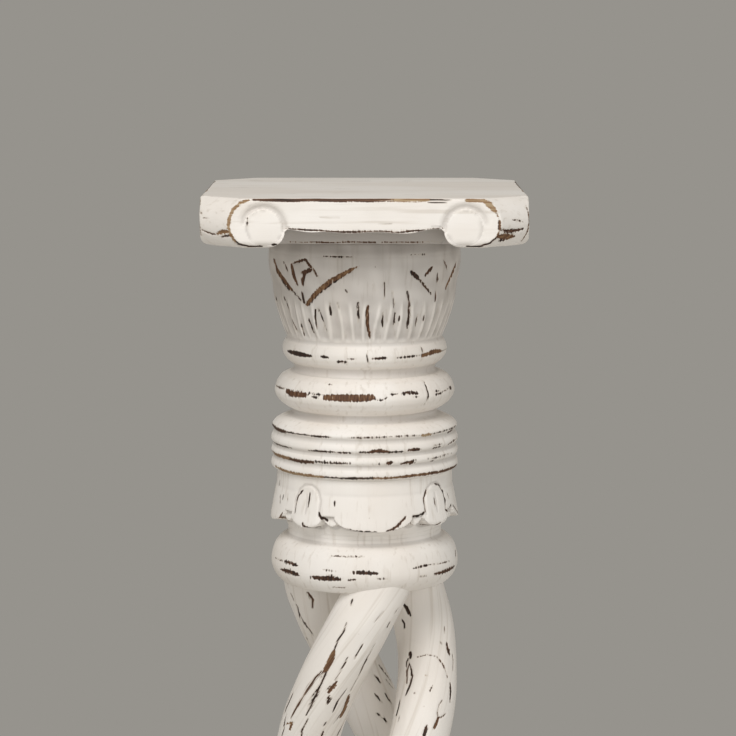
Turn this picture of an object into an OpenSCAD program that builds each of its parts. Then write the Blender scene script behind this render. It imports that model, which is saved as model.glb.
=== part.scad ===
// Display plinth: a carved and painted wooden column with a scrolled square top,
// an open shaft of three twisted strands and a square plinth.
// Origin at the middle of the footprint on the floor, +Z up, millimetres.

/* [Overall] */
// Height from the floor to the display surface
total_h = 1000; // [850:10:1200]
// Largest radius of the turned column
column_r = 90; // [82:1:100]
// Turn of the carved motifs about the column, from the front
motif_turn = 5; // [0:1:45]

/* [Abacus] */
// Width of the scrolled top, flat to flat
abacus_w = 300; // [250:5:360]
// Thickness of the boards of the top
abacus_t = 45; // [40:1:54]
// Leg of the corner cut where the corner roll is fullest
corner_cut = 26.6; // [20:0.2:36]
// Radius of the corner rolls
roll_r = 27; // [24:0.5:32]
// Height of a corner roll's centre over the underside
roll_z = 23.4; // [18:0.2:28]
// Height of the plain fascia between two scrolls
fascia_h = 29.6; // [22:0.2:34]
// How far the fascia stands out over the core
overhang = 45; // [30:1:54]
// Radius of a scroll's eye
eye_r = 16; // [12:0.5:17]
// Height of an eye's centre over the underside
eye_z = 17.8; // [17.4:0.2:24]
// Distance of an eye's centre from the corner cut
eye_inset = 32.4; // [24:0.2:42]
// Width and depth of the cut line round an eye
eye_line = 2; // [1:0.5:3]

/* [Capital] */
// Height of the carved bell
bell_h = 95; // [76:1:114]
// Height of the plain lip at the top of the bell
lip_h = 13; // [8:1:18]
// Radius of that lip
lip_r = 91.8; // [88:0.2:98]
// Radius of the bell at its foot
bell_foot_r = 73.3; // [70:0.1:78]
// Height of the astragal under the bell
astragal_h = 27; // [20:1:34]
// Radius of the astragal
astragal_r = 79; // [76:1:84]
// Radius of the necks between the rings
neck_r = 67.5; // [60:0.5:72]
// Height of a neck between two rings
neck_h = 6; // [4:1:10]
// Height of the torus
torus_h = 37; // [30:1:44]
// Radius of the torus
torus_r = 87; // [80:1:96]
// Height of the domed shoulder over the reeds
shoulder_h = 17; // [12:1:22]
// Height of one reed
reed_h = 12; // [9:0.5:14]
// Number of reeds under the shoulder
reed_count = 3; // [2:1:4]
// Depth of the cut between two reeds
reed_cut = 2.4; // [1.5:0.1:3.5]

/* [Petal collar] */
// Height of the collar block
collar_h = 58; // [50:1:70]
// Radius of the collar at its top
collar_top_r = 84; // [80:0.5:87]
// Radius at the petals' tips
petal_r = 91.5; // [88:0.5:98]
// Height of the petals, from the collar's top to their tips
petal_h = 48; // [38:1:52]
// Thickness of a petal at its edge
petal_t = 6; // [4:0.5:9]
// Radius of the notches between the petals
notch_r = 6; // [4:0.5:8]
// Places of the notches in each quarter turn
notch_turns = [17, 31, 59, 73];

/* [Twist] */
// Height of the ring at each end of the twist
ring_h = 50; // [40:1:60]
// Largest radius of a ring
ring_r = 91; // [86:1:100]
// Radius of the flat face that the strands stand on
ring_face_r = 80; // [79:1:86]
// Radius of the neck on the far side of the ring
ring_neck_r = 74; // [70:1:80]
// Distance of a strand's centre from the column's axis
strand_path_r = 61; // [56:1:68]
// Radius of a strand
strand_r = 29; // [24:0.5:31]
// Turn of a strand from its foot to its head
strand_turn = 191; // [120:1:220]
// Length over which a strand's ends are pared in to the rings' flat faces
pare_l = 14; // [8:1:24]
// Places of the three strands at the head, from the right-hand side
strand_places = [-79, 43, 152];

/* [Base] */
// Height of the foot drum's lowest torus
foot_torus_h = 38; // [30:1:46]
// Radius of that torus
foot_r = 108; // [98:1:125]
// Height of the neck over it
foot_neck_h = 12; // [8:1:16]
// Height of the flare from the neck out to the reeds
flare_h = 8; // [6:1:12]
// Number of reeds on the foot drum
foot_reeds = 3; // [2:1:4]
// Height of the domed shoulder over them
foot_shoulder_h = 12; // [8:1:16]
// Height of the plain stretch under the twist's foot ring
foot_collar_h = 21; // [14:1:30]
// Width of the square plinth
plinth_w = 300; // [250:5:360]
// Thickness of the plinth's boards
plinth_t = 45; // [37:1:54]
// Leg of the plinth's corner cut
plinth_cut = 34; // [24:1:44]
// Height of the step along the plinth's top edge
step_h = 12; // [8:1:16]
// Width of that step
step_w = 10; // [6:1:14]

/* [Joints] */
// Diameter of the dowels across the glued joints
dowel_d = 10; // [8:0.5:12]
// Length of those dowels
dowel_l = 50; // [40:1:60]
// Distance of the dowels from the middle of the boards
dowel_x = 60; // [45:1:80]
// Diameter of the centre spigots
spigot_d = 40; // [32:1:48]
// Depth of a spigot in each piece that it joins
spigot_in = 26; // [20:1:32]
// Diameter of the strand dowels
strand_dowel_d = 20; // [16:1:24]
// Depth of a strand dowel in each piece
strand_dowel_in = 22; // [18:1:26]
// Radial clearance of a glued dowel or spigot in its bore
glue_gap = 0.2; // [0.1:0.05:0.4]
// Room left past the end of a dowel or spigot
end_gap = 1; // [0.5:0.5:3]
// Diameter of the wood screws
screw_d = 5; // [4:0.5:6]
// Depth of the screws in the foot drum
screw_in = 30; // [24:1:36]
// Distance of the screws from the column's axis
screw_place = 55; // [40:1:60]
// Depth of a screw head below the plinth's underside
screw_sink = 10; // [6:1:14]
// Radial clearance of the screws and the glides' pins
screw_gap = 0.1; // [0.05:0.05:0.3]
// Diameter of a floor glide
glide_d = 22; // [18:1:26]
// Height of a floor glide
glide_h = 3; // [2:0.5:5]
// Diameter of a glide's pin
glide_pin_d = 2.6; // [2:0.2:3.2]
// Length of a glide's pin
glide_pin_l = 12; // [8:1:16]
// Distance of a glide's centre from the plinth's corner cut
glide_inset = 37; // [25:1:50]

/* [Hidden] */
$fn = 64;
arc_steps = 12;
strand_sides = 28;
strand_rings = 44;
past = 1;
quarters = [0, 90, 180, 270];

abacus_half = abacus_w / 2;
board_half = abacus_w / 6;
plinth_half = plinth_w / 2;
plinth_board_half = plinth_w / 6;
roll_reach = (abacus_w - corner_cut) / sqrt(2);
eye_x = abacus_half - corner_cut - eye_inset;
recess_half = eye_x - eye_r - eye_line;

reeds_h = reed_h * reed_count;
drum_h = reeds_h + shoulder_h + neck_h + torus_h + neck_h + astragal_h + bell_h;
foot_reeds_z = foot_torus_h + foot_neck_h + flare_h;
foot_shoulder_z = foot_reeds_z + foot_reeds * reed_h;
foot_h = foot_shoulder_z + foot_shoulder_h + foot_collar_h;

plinth_z = glide_h;
foot_z = plinth_z + plinth_t;
strand_z = foot_z + foot_h + ring_h;
abacus_z = total_h - abacus_t;
drum_z = abacus_z - drum_h;
collar_z = drum_z - collar_h;
head_z = collar_z - ring_h;
strand_l = head_z - strand_z;
turn_rate = strand_turn / strand_l;
strand_lean = atan(strand_path_r * turn_rate * PI / 180);

dowel_z = abacus_t - fascia_h / 2;
glide_reach = (plinth_w - plinth_cut) / sqrt(2) - glide_inset;
screw_head_d = screw_d * 2;
screw_head_h = screw_d * 0.6;
screw_slot = screw_d * 0.2;

// ---- outlines of turned pieces, as points [radius, height] ----

// A half-round ring from the height z0 to z1.
function bead(r_in, r_out, z0, z1) =
    [for (i = [0:arc_steps]) let (a = 180 * i / arc_steps - 90)
        [r_in + (r_out - r_in) * cos(a), (z0 + z1) / 2 + (z1 - z0) / 2 * sin(a)]];

// A quarter-round shoulder, from the full radius at z0 to the neck at z1.
function shoulder(r_in, r_out, z0, z1) =
    [for (i = [0:arc_steps]) let (a = 90 * i / arc_steps)
        [r_in + (r_out - r_in) * cos(a), z0 + (z1 - z0) * sin(a)]];

// The swelling line of the bell, from r0 at z0 to r1 at z1.
function swell(r0, r1, z0, z1) =
    [for (i = [0:arc_steps]) let (t = i / arc_steps)
        [r0 + (r1 - r0) * pow(sin(90 * t), 0.8), z0 + (z1 - z0) * t]];

// A run of equal reeds from the height z0 upwards.
function reeds(count, z0) =
    [for (k = [0:count - 1]) each bead(column_r - reed_cut, column_r, z0 + k * reed_h,
                                       z0 + (k + 1) * reed_h)];

module turned(outline) {
    last = outline[len(outline) - 1];
    rotate_extrude($fn = 96) polygon(concat([[0, outline[0][1]]], outline, [[0, last[1]]]));
}

// A spigot's bore, up from the face at z or down from it.
module spigot_bore(z, up) {
    depth = spigot_in + end_gap;
    translate([0, 0, up ? z - past : z - depth])
        cylinder(d = spigot_d + 2 * glue_gap, h = depth + past);
}

// ---- scrolled top ----

// The upright section across one diagonal, with a roll at each end, run along the other.
module rolled_diagonal(turn) {
    roll_place = roll_reach - roll_r;
    rotate([0, 0, turn]) rotate([90, 0, 0]) linear_extrude(2 * abacus_w, center = true)
        intersection() {
            union() {
                for (s = [-1, 1]) translate([s * roll_place, roll_z]) circle(r = roll_r);
                translate([-roll_place, 0]) square([2 * roll_place, abacus_t]);
            }
            translate([-roll_reach, 0]) square([2 * roll_reach, abacus_t]);
        }
}

// The hollow under the fascia, between two scrolls.
module fascia_recess() {
    translate([-recess_half, -abacus_half - past, -past])
        cube([2 * recess_half, overhang + past, abacus_t - fascia_h + past]);
}

module eye_cut() {
    translate([0, -abacus_half, eye_z]) rotate([90, 0, 0]) difference() {
        cylinder(r = eye_r, h = 2 * eye_line, center = true);
        cylinder(r = eye_r - eye_line, h = 2 * eye_line + past, center = true);
    }
}

module abacus_slab() {
    difference() {
        intersection() {
            translate([-abacus_half, -abacus_half, 0]) cube([abacus_w, abacus_w, abacus_t]);
            rolled_diagonal(45);
            rolled_diagonal(-45);
        }
        for (a = quarters) rotate([0, 0, a]) {
            fascia_recess();
            for (s = [-1, 1]) translate([s * eye_x, 0, 0]) eye_cut();
        }
    }
}

// Dowels lying front to back across the two joints at y and -y.
module dowel_row(y, z, d, l) {
    for (s = [-1, 1], t = [-1, 1])
        translate([s * dowel_x, t * y, z]) rotate([90, 0, 0]) cylinder(d = d, h = l, center = true);
}

// One board of the top: place is -1 at the front, 0 in the middle and 1 at the back.
module abacus_board(place) {
    color("ivory") translate([0, 0, abacus_z]) difference() {
        intersection() {
            abacus_slab();
            translate([-abacus_half, (2 * place - 1) * board_half, 0])
                cube([abacus_w, 2 * board_half, abacus_t]);
        }
        dowel_row(board_half, dowel_z, dowel_d + 2 * glue_gap, dowel_l + 2 * end_gap);
        if (place == 0) spigot_bore(0, true);
    }
}

module abacus_dowels() {
    color("burlywood") translate([0, 0, abacus_z]) dowel_row(board_half, dowel_z, dowel_d, dowel_l);
}

// ---- turned capital ----

module capital_drum() {
    shoulder_top = reeds_h + shoulder_h;
    torus_z = shoulder_top + neck_h;
    astragal_z = torus_z + torus_h + neck_h;
    bell_z = astragal_z + astragal_h;
    outline = concat(
        reeds(reed_count, 0),
        shoulder(neck_r, column_r, reeds_h, shoulder_top),
        bead(neck_r, torus_r, torus_z, torus_z + torus_h),
        bead(neck_r, astragal_r, astragal_z, bell_z),
        swell(bell_foot_r, lip_r, bell_z, drum_h - lip_h),
        [[lip_r, drum_h]]);
    color("ivory") translate([0, 0, drum_z]) difference() {
        turned(outline);
        spigot_bore(0, true);
        spigot_bore(drum_h, false);
    }
}

module cap_spigot() {
    color("burlywood") translate([0, 0, abacus_z - spigot_in]) cylinder(d = spigot_d, h = 2 * spigot_in);
}

// ---- petal collar ----

module petal_collar() {
    petal_z = collar_h - petal_h;
    outline = [[ring_neck_r, 0], [ring_neck_r, petal_z + petal_t / 2], [petal_r - petal_t, petal_z],
               [petal_r, petal_z], [collar_top_r, collar_h]];
    color("ivory") translate([0, 0, collar_z]) rotate([0, 0, motif_turn]) difference() {
        turned(outline);
        for (a = quarters, b = notch_turns)
            rotate([0, 0, a + b]) translate([ring_neck_r + past, 0, petal_z]) rotate([0, 90, 0])
                cylinder(r = notch_r, h = petal_r);
        translate([0, 0, -past]) cylinder(d = spigot_d + 2 * glue_gap, h = collar_h + 2 * past);
    }
}

module collar_spigot() {
    color("burlywood") translate([0, 0, collar_z - spigot_in])
        cylinder(d = spigot_d, h = collar_h + 2 * spigot_in);
}

// ---- twist ----

// The ring at an end of the twist, with its strand face at z = 0 and its neck at the top.
module twist_ring() {
    round_h = ring_h * 0.76;
    torus = bead(ring_face_r, ring_r, 0, round_h);
    turned(concat([for (p = torus) if (p[1] < round_h * 0.9) p],
                  shoulder(ring_neck_r, ring_face_r + 5, round_h * 0.9, ring_h * 0.84),
                  [[ring_neck_r, ring_h]]));
}

// The centre of a strand at the height z, from its place at the head.
function strand_angle(place, z) = place - turn_rate * (head_z - z);
function strand_centre(place, z) =
    [strand_path_r * cos(strand_angle(place, z)), strand_path_r * sin(strand_angle(place, z)), z];

module strand_bores(place, z) {
    translate(strand_centre(place, z))
        cylinder(d = strand_dowel_d + 2 * glue_gap, h = 2 * (strand_dowel_in + end_gap), center = true);
}

module dowel_set(z) {
    for (p = strand_places) translate(strand_centre(p, z))
        cylinder(d = strand_dowel_d, h = 2 * strand_dowel_in, center = true);
}

module twist_head() {
    color("ivory") difference() {
        translate([0, 0, head_z]) twist_ring();
        for (p = strand_places) strand_bores(p, head_z);
        spigot_bore(collar_z, false);
    }
}

module twist_foot() {
    color("ivory") difference() {
        translate([0, 0, strand_z]) mirror([0, 0, 1]) twist_ring();
        for (p = strand_places) strand_bores(p, strand_z);
        spigot_bore(strand_z - ring_h, true);
    }
}

// One strand: level sections of a leaning round bar, turned about the axis as they rise,
// with its ends pared to the rings.
module strand(place) {
    points = [for (i = [0:strand_rings], j = [0:strand_sides - 1])
        let (z = strand_z + strand_l * i / strand_rings,
             a = strand_angle(place, z),
             b = 360 * j / strand_sides,
             out = strand_path_r + strand_r * cos(b),
             side = strand_r / cos(strand_lean) * sin(b))
        [out * cos(a) - side * sin(a), out * sin(a) + side * cos(a), z]];
    last = strand_rings * strand_sides;
    walls = [for (i = [0:strand_rings - 1], j = [0:strand_sides - 1])
        let (k = (j + 1) % strand_sides, p = i * strand_sides, q = p + strand_sides)
        each [[p + j, q + j, q + k], [p + j, q + k, p + k]]];
    ends = [[for (j = [0:strand_sides - 1]) j],
            [for (j = [strand_sides - 1:-1:0]) last + j]];
    envelope_r = strand_path_r + strand_r + past;
    color("ivory") difference() {
        intersection() {
            polyhedron(points = points, faces = concat(walls, ends), convexity = 6);
            turned([[ring_face_r, strand_z], [envelope_r, strand_z + pare_l],
                    [envelope_r, head_z - pare_l], [ring_face_r, head_z]]);
        }
        strand_bores(place, strand_z);
        strand_bores(place, head_z);
    }
}

module head_dowels() {
    color("burlywood") dowel_set(head_z);
}

module foot_dowels() {
    color("burlywood") dowel_set(strand_z);
}

// ---- base ----

module foot_screws_at() {
    for (a = quarters) rotate([0, 0, a]) translate([screw_place, 0, 0]) children();
}

module foot_drum() {
    outline = concat(
        bead(foot_r - foot_torus_h / 4, foot_r, 0, foot_torus_h),
        [[neck_r + foot_neck_h, foot_torus_h + 2], [ring_neck_r, foot_torus_h + foot_neck_h]],
        reeds(foot_reeds, foot_reeds_z),
        shoulder(ring_neck_r, column_r - reed_cut, foot_shoulder_z, foot_shoulder_z + foot_shoulder_h),
        [[ring_neck_r, foot_h]]);
    color("ivory") translate([0, 0, foot_z]) difference() {
        turned(outline);
        spigot_bore(foot_h, false);
        foot_screws_at() translate([0, 0, -past])
            cylinder(d = screw_d + 2 * screw_gap, h = screw_in + end_gap + past);
    }
}

module foot_spigot() {
    color("burlywood") translate([0, 0, strand_z - ring_h - spigot_in])
        cylinder(d = spigot_d, h = 2 * spigot_in);
}

module cut_square(half, cut) {
    polygon([for (a = quarters, s = [-1, 1])
        [half * cos(a) - s * (half - cut) * sin(a), half * sin(a) + s * (half - cut) * cos(a)]]);
}

module plinth_slab() {
    linear_extrude(plinth_t - step_h) cut_square(plinth_half, plinth_cut);
    linear_extrude(plinth_t) cut_square(plinth_half - step_w, plinth_cut - step_w * (2 - sqrt(2)));
}

module glides_at() {
    for (a = quarters) rotate([0, 0, a + 45]) translate([glide_reach, 0, 0]) children();
}

// One board of the plinth: place is -1 at the front, 0 in the middle and 1 at the back.
module plinth_board(place) {
    color("ivory") translate([0, 0, plinth_z]) difference() {
        intersection() {
            plinth_slab();
            translate([-plinth_half, (2 * place - 1) * plinth_board_half, 0])
                cube([plinth_w, 2 * plinth_board_half, plinth_t]);
        }
        dowel_row(plinth_board_half, plinth_t / 2, dowel_d + 2 * glue_gap, dowel_l + 2 * end_gap);
        foot_screws_at() translate([0, 0, -past]) {
            cylinder(d = screw_d + 2 * screw_gap, h = plinth_t + 2 * past);
            cylinder(d = screw_head_d + 2 * end_gap, h = screw_sink + past);
        }
        glides_at() translate([0, 0, -past])
            cylinder(d = glide_pin_d + 2 * screw_gap, h = glide_pin_l + end_gap + past);
    }
}

module plinth_dowels() {
    color("burlywood") translate([0, 0, plinth_z])
        dowel_row(plinth_board_half, plinth_t / 2, dowel_d, dowel_l);
}

module plinth_screws() {
    shank_l = plinth_t - screw_sink + screw_in;
    color("silver") foot_screws_at() translate([0, 0, plinth_z + screw_sink]) difference() {
        union() {
            translate([0, 0, -screw_head_h]) cylinder(d = screw_head_d, h = screw_head_h);
            cylinder(d = screw_d, h = shank_l - screw_d);
            translate([0, 0, shank_l - screw_d]) cylinder(d1 = screw_d, d2 = screw_d / 8, h = screw_d);
        }
        for (b = [0, 90]) rotate([0, 0, b]) translate([0, 0, -screw_head_h])
            cube([screw_d, screw_slot, screw_head_h], center = true);
    }
}

module floor_glides() {
    color("dimgray") glides_at() {
        cylinder(d1 = glide_d - glide_h / 2, d2 = glide_d, h = glide_h);
        translate([0, 0, glide_h]) cylinder(d = glide_pin_d, h = glide_pin_l);
    }
}

abacus_board(-1);  // abacus_front_board
abacus_board(0);  // abacus_middle_board
abacus_board(1);  // abacus_back_board
abacus_dowels();
cap_spigot();
capital_drum();
collar_spigot();
petal_collar();
twist_head();
head_dowels();
strand(strand_places[0]);  // strand_a
strand(strand_places[1]);  // strand_b
strand(strand_places[2]);  // strand_c
foot_dowels();
twist_foot();
foot_spigot();
foot_drum();
plinth_board(-1);  // plinth_front_board
plinth_board(0);  // plinth_middle_board
plinth_board(1);  // plinth_back_board
plinth_dowels();
plinth_screws();
floor_glides();
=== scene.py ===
"""Display plinth: a carved twist column under a scrolled square top, in rubbed chalk paint.

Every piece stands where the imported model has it. Lengths are millimetres until a mesh is written,
and places down the column are counted from its top.
"""
import logging
import math
from collections.abc import Callable, Iterable, Iterator, Sequence
from contextlib import contextmanager
from dataclasses import dataclass, replace
from enum import Enum

import bmesh
import bpy
import numpy as np
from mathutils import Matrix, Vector


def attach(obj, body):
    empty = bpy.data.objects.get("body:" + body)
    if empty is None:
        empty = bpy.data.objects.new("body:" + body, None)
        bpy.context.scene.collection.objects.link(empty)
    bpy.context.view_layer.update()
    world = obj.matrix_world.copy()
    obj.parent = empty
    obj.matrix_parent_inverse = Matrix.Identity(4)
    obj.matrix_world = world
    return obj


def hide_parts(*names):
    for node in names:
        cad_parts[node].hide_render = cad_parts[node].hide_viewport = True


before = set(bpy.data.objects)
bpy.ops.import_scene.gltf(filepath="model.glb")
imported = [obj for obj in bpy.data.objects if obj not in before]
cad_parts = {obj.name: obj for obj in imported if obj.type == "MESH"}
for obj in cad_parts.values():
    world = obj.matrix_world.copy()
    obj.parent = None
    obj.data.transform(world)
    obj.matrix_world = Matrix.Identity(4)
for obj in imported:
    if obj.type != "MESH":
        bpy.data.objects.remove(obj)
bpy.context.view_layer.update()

LOG = logging.getLogger("display_plinth")
MM = 0.001
TOP_Z = 1000.0
FAR = 9.0  # a distance in mm from any mark at which the paint is whole
FLAT_END = 72.5  # radius in mm within which a turned piece's ends are flat
QUARTERS = (0, 90, 180, 270)

Piece = bpy.types.Object
Outline = Sequence[tuple[float, float]]


# ---------------------------------------------------------------- the bench and its tools


@contextmanager
def editing(piece: Piece) -> Iterator[bmesh.types.BMesh]:
    """Edit mode on one piece, with nothing in it selected.

    Args:
        piece: The mesh object to shape.
    """
    bpy.ops.object.select_all(action="DESELECT")
    bpy.context.view_layer.objects.active = piece
    piece.select_set(True)
    bpy.ops.object.mode_set(mode="EDIT")
    bpy.ops.mesh.select_mode(type="VERT")
    bpy.ops.mesh.select_all(action="DESELECT")
    yield bmesh.from_edit_mesh(piece.data)
    bpy.ops.object.mode_set(mode="OBJECT")


def take_up(name: str) -> Piece:
    """Names the primitive just added, and fixes its place and size in its mesh.

    Args:
        name: The piece's name.

    Returns:
        The piece, at the origin, unturned and unscaled.
    """
    bpy.ops.object.transform_apply(location=True, rotation=True, scale=True)
    piece = bpy.context.object
    piece.name = piece.data.name = name
    return piece


def block(name: str, low: Sequence[float], high: Sequence[float]) -> Piece:
    """Adds a squared block of wood.

    Args:
        name: The block's name.
        low: Its lowest corner in mm.
        high: Its highest corner in mm.

    Returns:
        The block.
    """
    bpy.ops.object.select_all(action="DESELECT")
    middle = [(a + b) / 2 * MM for a, b in zip(low, high)]
    bpy.ops.mesh.primitive_cube_add(size=1, location=middle,
                                    scale=[(b - a) * MM for a, b in zip(low, high)])
    return take_up(name)


def pick_edges(shape: bmesh.types.BMesh, wanted: Callable[[Vector, Vector], bool]) -> None:
    """Selects the edges whose two ends answer to a test.

    Args:
        shape: The mesh in edit mode.
        wanted: Takes an edge's two ends and says whether it is wanted.
    """
    bpy.ops.mesh.select_mode(type="EDGE")
    for edge in shape.edges:
        if wanted(edge.verts[0].co, edge.verts[1].co):
            edge.select = True
    shape.select_flush_mode()
    bmesh.update_edit_mesh(bpy.context.object.data)


def upright(a: Vector, b: Vector) -> bool:
    """Whether an edge stands straight up."""
    return abs(a.x - b.x) + abs(a.y - b.y) < 1e-6 < abs(a.z - b.z)


def apply(piece: Piece, kind: str, **settings: object) -> None:
    """Adds a modifier and applies it.

    Args:
        piece: The piece to change.
        kind: The modifier's type.
        settings: Its properties.
    """
    modifier = piece.modifiers.new(kind.lower(), kind)
    for key, value in settings.items():
        setattr(modifier, key, value)
    bpy.ops.object.select_all(action="DESELECT")
    bpy.context.view_layer.objects.active = piece
    piece.select_set(True)
    bpy.ops.object.modifier_apply(modifier=modifier.name)


def chop_out(piece: Piece, cutter: Piece) -> None:
    """Cuts the shape of one block out of a piece, and throws the block away.

    Args:
        piece: The piece that is cut.
        cutter: The block with the shape of the hollow.
    """
    apply(piece, "BOOLEAN", object=cutter, operation="DIFFERENCE", solver="EXACT")
    bpy.data.objects.remove(cutter)


def sawn_slab(name: str, half: float, low: float, high: float, corner: float) -> Piece:
    """Saws a square slab and takes off its four upright corners.

    Args:
        name: The slab's name.
        half: Half of its width in mm.
        low: Its underside in mm.
        high: Its top in mm.
        corner: The leg of each corner cut in mm.

    Returns:
        The slab.
    """
    slab = block(name, (-half, -half, low), (half, half, high))
    with editing(slab) as shape:
        pick_edges(shape, upright)
        bpy.ops.mesh.bevel(offset=corner * MM, segments=1, affect="EDGES")
    return slab


def even_faces(slab: Piece, size: float, passes: int) -> None:
    """Gives a slab fine even faces and eases its arrises.

    Args:
        slab: The slab.
        size: The side of a face in mm.
        passes: How often its arrises are eased.
    """
    apply(slab, "REMESH", mode="VOXEL", voxel_size=size * MM, adaptivity=0.0)
    apply(slab, "SMOOTH", factor=0.5, iterations=passes)


def sanded(points: Outline, step: float, soft: float) -> list[tuple[float, float]]:
    """Rounds an outline's corners as sandpaper does, and places points along it at even steps.

    Args:
        points: The outline as (radius, depth) corners in mm.
        step: How far apart the new points lie, in mm.
        soft: How far the sandpaper reaches round a corner, in mm.

    Returns:
        The new (radius, depth) points, with the two ends kept.
    """
    fine = 0.2
    corners = np.array(points, float)
    run = np.concatenate([[0], np.cumsum(np.hypot(*np.diff(corners, axis=0).T))])
    places = np.arange(0, run[-1], fine)
    line = np.stack([np.interp(places, run, corners[:, k]) for k in (0, 1)], 1)
    reach = int(3 * soft / fine)
    weights = np.exp(-0.5 * (np.arange(-reach, reach + 1) * fine / soft) ** 2)
    padded = np.pad(line, ((reach, reach), (0, 0)), mode="reflect", reflect_type="odd")
    line = np.stack([np.convolve(padded[:, k], weights / weights.sum(), "valid")
                     for k in (0, 1)], 1)
    run = np.concatenate([[0], np.cumsum(np.hypot(*np.diff(line, axis=0).T))])
    places = np.linspace(0, run[-1], max(2, round(run[-1] / step) + 1))
    return [(float(np.interp(s, run, line[:, 0])), float(np.interp(s, run, line[:, 1])))
            for s in places]


def turn_on_lathe(name: str, outline: Outline, columns: int) -> Piece:
    """Spins an outline round the column's axis into a closed blank.

    Args:
        name: The piece's name.
        outline: (radius, depth) points in mm, from the top rim to the bottom rim.
        columns: How many steps make the full turn.

    Returns:
        The blank.
    """
    (first_r, first_d), (last_r, last_d) = outline[0], outline[-1]
    ends = [(0.0, first_d), (first_r - 6, first_d), (first_r - 2, first_d), *outline,
            (last_r - 2, last_d), (last_r - 6, last_d), (0.0, last_d)]
    bpy.ops.object.select_all(action="DESELECT")
    bpy.ops.mesh.primitive_plane_add(size=MM)
    piece = take_up(name)
    with editing(piece) as shape:
        shape.verts.ensure_lookup_table()
        for spare in shape.verts[1:]:
            spare.select = True
        bpy.ops.mesh.delete(type="VERT")
        shape = bmesh.from_edit_mesh(piece.data)
        shape.verts.ensure_lookup_table()
        first = shape.verts[0]
        first.co = (0, 0, (TOP_Z - ends[0][1]) * MM)
        first.select = True
        bmesh.update_edit_mesh(piece.data)
        for (r1, d1), (r2, d2) in zip(ends, ends[1:]):
            bpy.ops.mesh.extrude_region_move(
                TRANSFORM_OT_translate={"value": ((r2 - r1) * MM, 0, (d1 - d2) * MM)})
        bpy.ops.mesh.select_all(action="SELECT")
        bpy.ops.mesh.spin(steps=columns, angle=math.tau, center=(0, 0, 0), axis=(0, 0, 1),
                          use_auto_merge=True)
        bpy.ops.mesh.select_all(action="SELECT")
        bpy.ops.mesh.remove_doubles(threshold=1e-5)
        bpy.ops.mesh.normals_make_consistent(inside=False)
    return piece


def smooth_step(value: np.ndarray) -> np.ndarray:
    """Eases values from 0 to 1, flat beyond both."""
    t = np.clip(value, 0, 1)
    return t * t * (3 - 2 * t)


def hand(places: np.ndarray, size: float, seed: int) -> np.ndarray:
    """The slow unevenness of hand work, from -1 to 1.

    Args:
        places: One row of coordinates in mm for each point.
        size: The length of the widest swell, in mm.
        seed: Which unevenness.

    Returns:
        One value for each point.
    """
    dice = np.random.default_rng(seed)
    total = np.zeros(len(places))
    for _ in range(7):
        way = dice.normal(size=places.shape[1])
        way *= math.tau / size * dice.uniform(0.7, 2.0) / np.linalg.norm(way)
        total += np.sin(places @ way + dice.uniform(0, math.tau))
    return np.clip(total / 3.2, -1, 1)


@dataclass(frozen=True)
class Mark:
    """A gouge, crack or rubbed patch along a line.

    Each place is (along, down): along in degrees or mm, down in mm below the top.
    """

    line: tuple[tuple[float, float], ...]
    width: float
    deep: float = 0.3
    tone: float = 0.2
    ends: tuple[float, float] = (0.25, 0.25)
    ragged: float = 0.0
    painted: bool = False


@dataclass(frozen=True)
class Chart:
    """Where each point of a surface lies, so that marks can be placed on it."""

    along: np.ndarray
    down: np.ndarray
    unit: float = 1.0
    stretch: float = 1.0
    full_turn: float = 0.0
    holds: np.ndarray | None = None

    def gap(self, mark: Mark) -> tuple[np.ndarray, np.ndarray]:
        """Finds the points near a mark.

        Args:
            mark: The mark.

        Returns:
            The indices of the points near it, and each one's distance in mm from the mark's edge,
            which is negative inside.
        """
        line = np.array(mark.line if len(mark.line) > 1
                        else (mark.line[0], (mark.line[0][0], mark.line[0][1] + 0.1)), float)
        middle = line[:, 0].mean()
        off = self.along - middle
        if self.full_turn:
            half = self.full_turn / 2
            off = (off + half) % self.full_turn - half
        x, y = off * self.unit, self.down * self.stretch
        path = np.stack([(line[:, 0] - middle) * self.unit, line[:, 1] * self.stretch], 1)
        low, high = path.min(0) - 6, path.max(0) + 6
        near = (x > low[0]) & (x < high[0]) & (y > low[1]) & (y < high[1])
        if self.holds is not None:
            near &= self.holds
        found = np.nonzero(near)[0]
        x, y = x[found], y[found]
        legs = np.hypot(*np.diff(path, axis=0).T)
        run = np.concatenate([[0], np.cumsum(legs)]) / legs.sum()
        gap = np.full(len(found), FAR)
        for k, leg in enumerate(legs):
            start, way = path[k], (path[k + 1] - path[k]) / max(leg, 1e-6) ** 2
            t = np.clip((x - start[0]) * way[0] + (y - start[1]) * way[1], 0, 1)
            share = run[k] + t * (run[k + 1] - run[k])
            thin = mark.ends[0] * (1 - share) + mark.ends[1] * share
            full = mark.width / 2 * (thin + (1 - thin) * np.sin(math.pi * share) ** 0.6)
            step = path[k + 1] - path[k]
            gap = np.minimum(gap, np.hypot(x - start[0] - t * step[0],
                                           y - start[1] - t * step[1]) - full)
        if mark.ragged:
            gap += mark.ragged * (0.6 * np.sin(x * 2.9 + y * 0.3) + 0.5 * np.sin(x * 1.3 - y * 0.5)
                                  + 0.4 * np.sin(x * 5.1 + 2 * y))
        return found, gap


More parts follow.
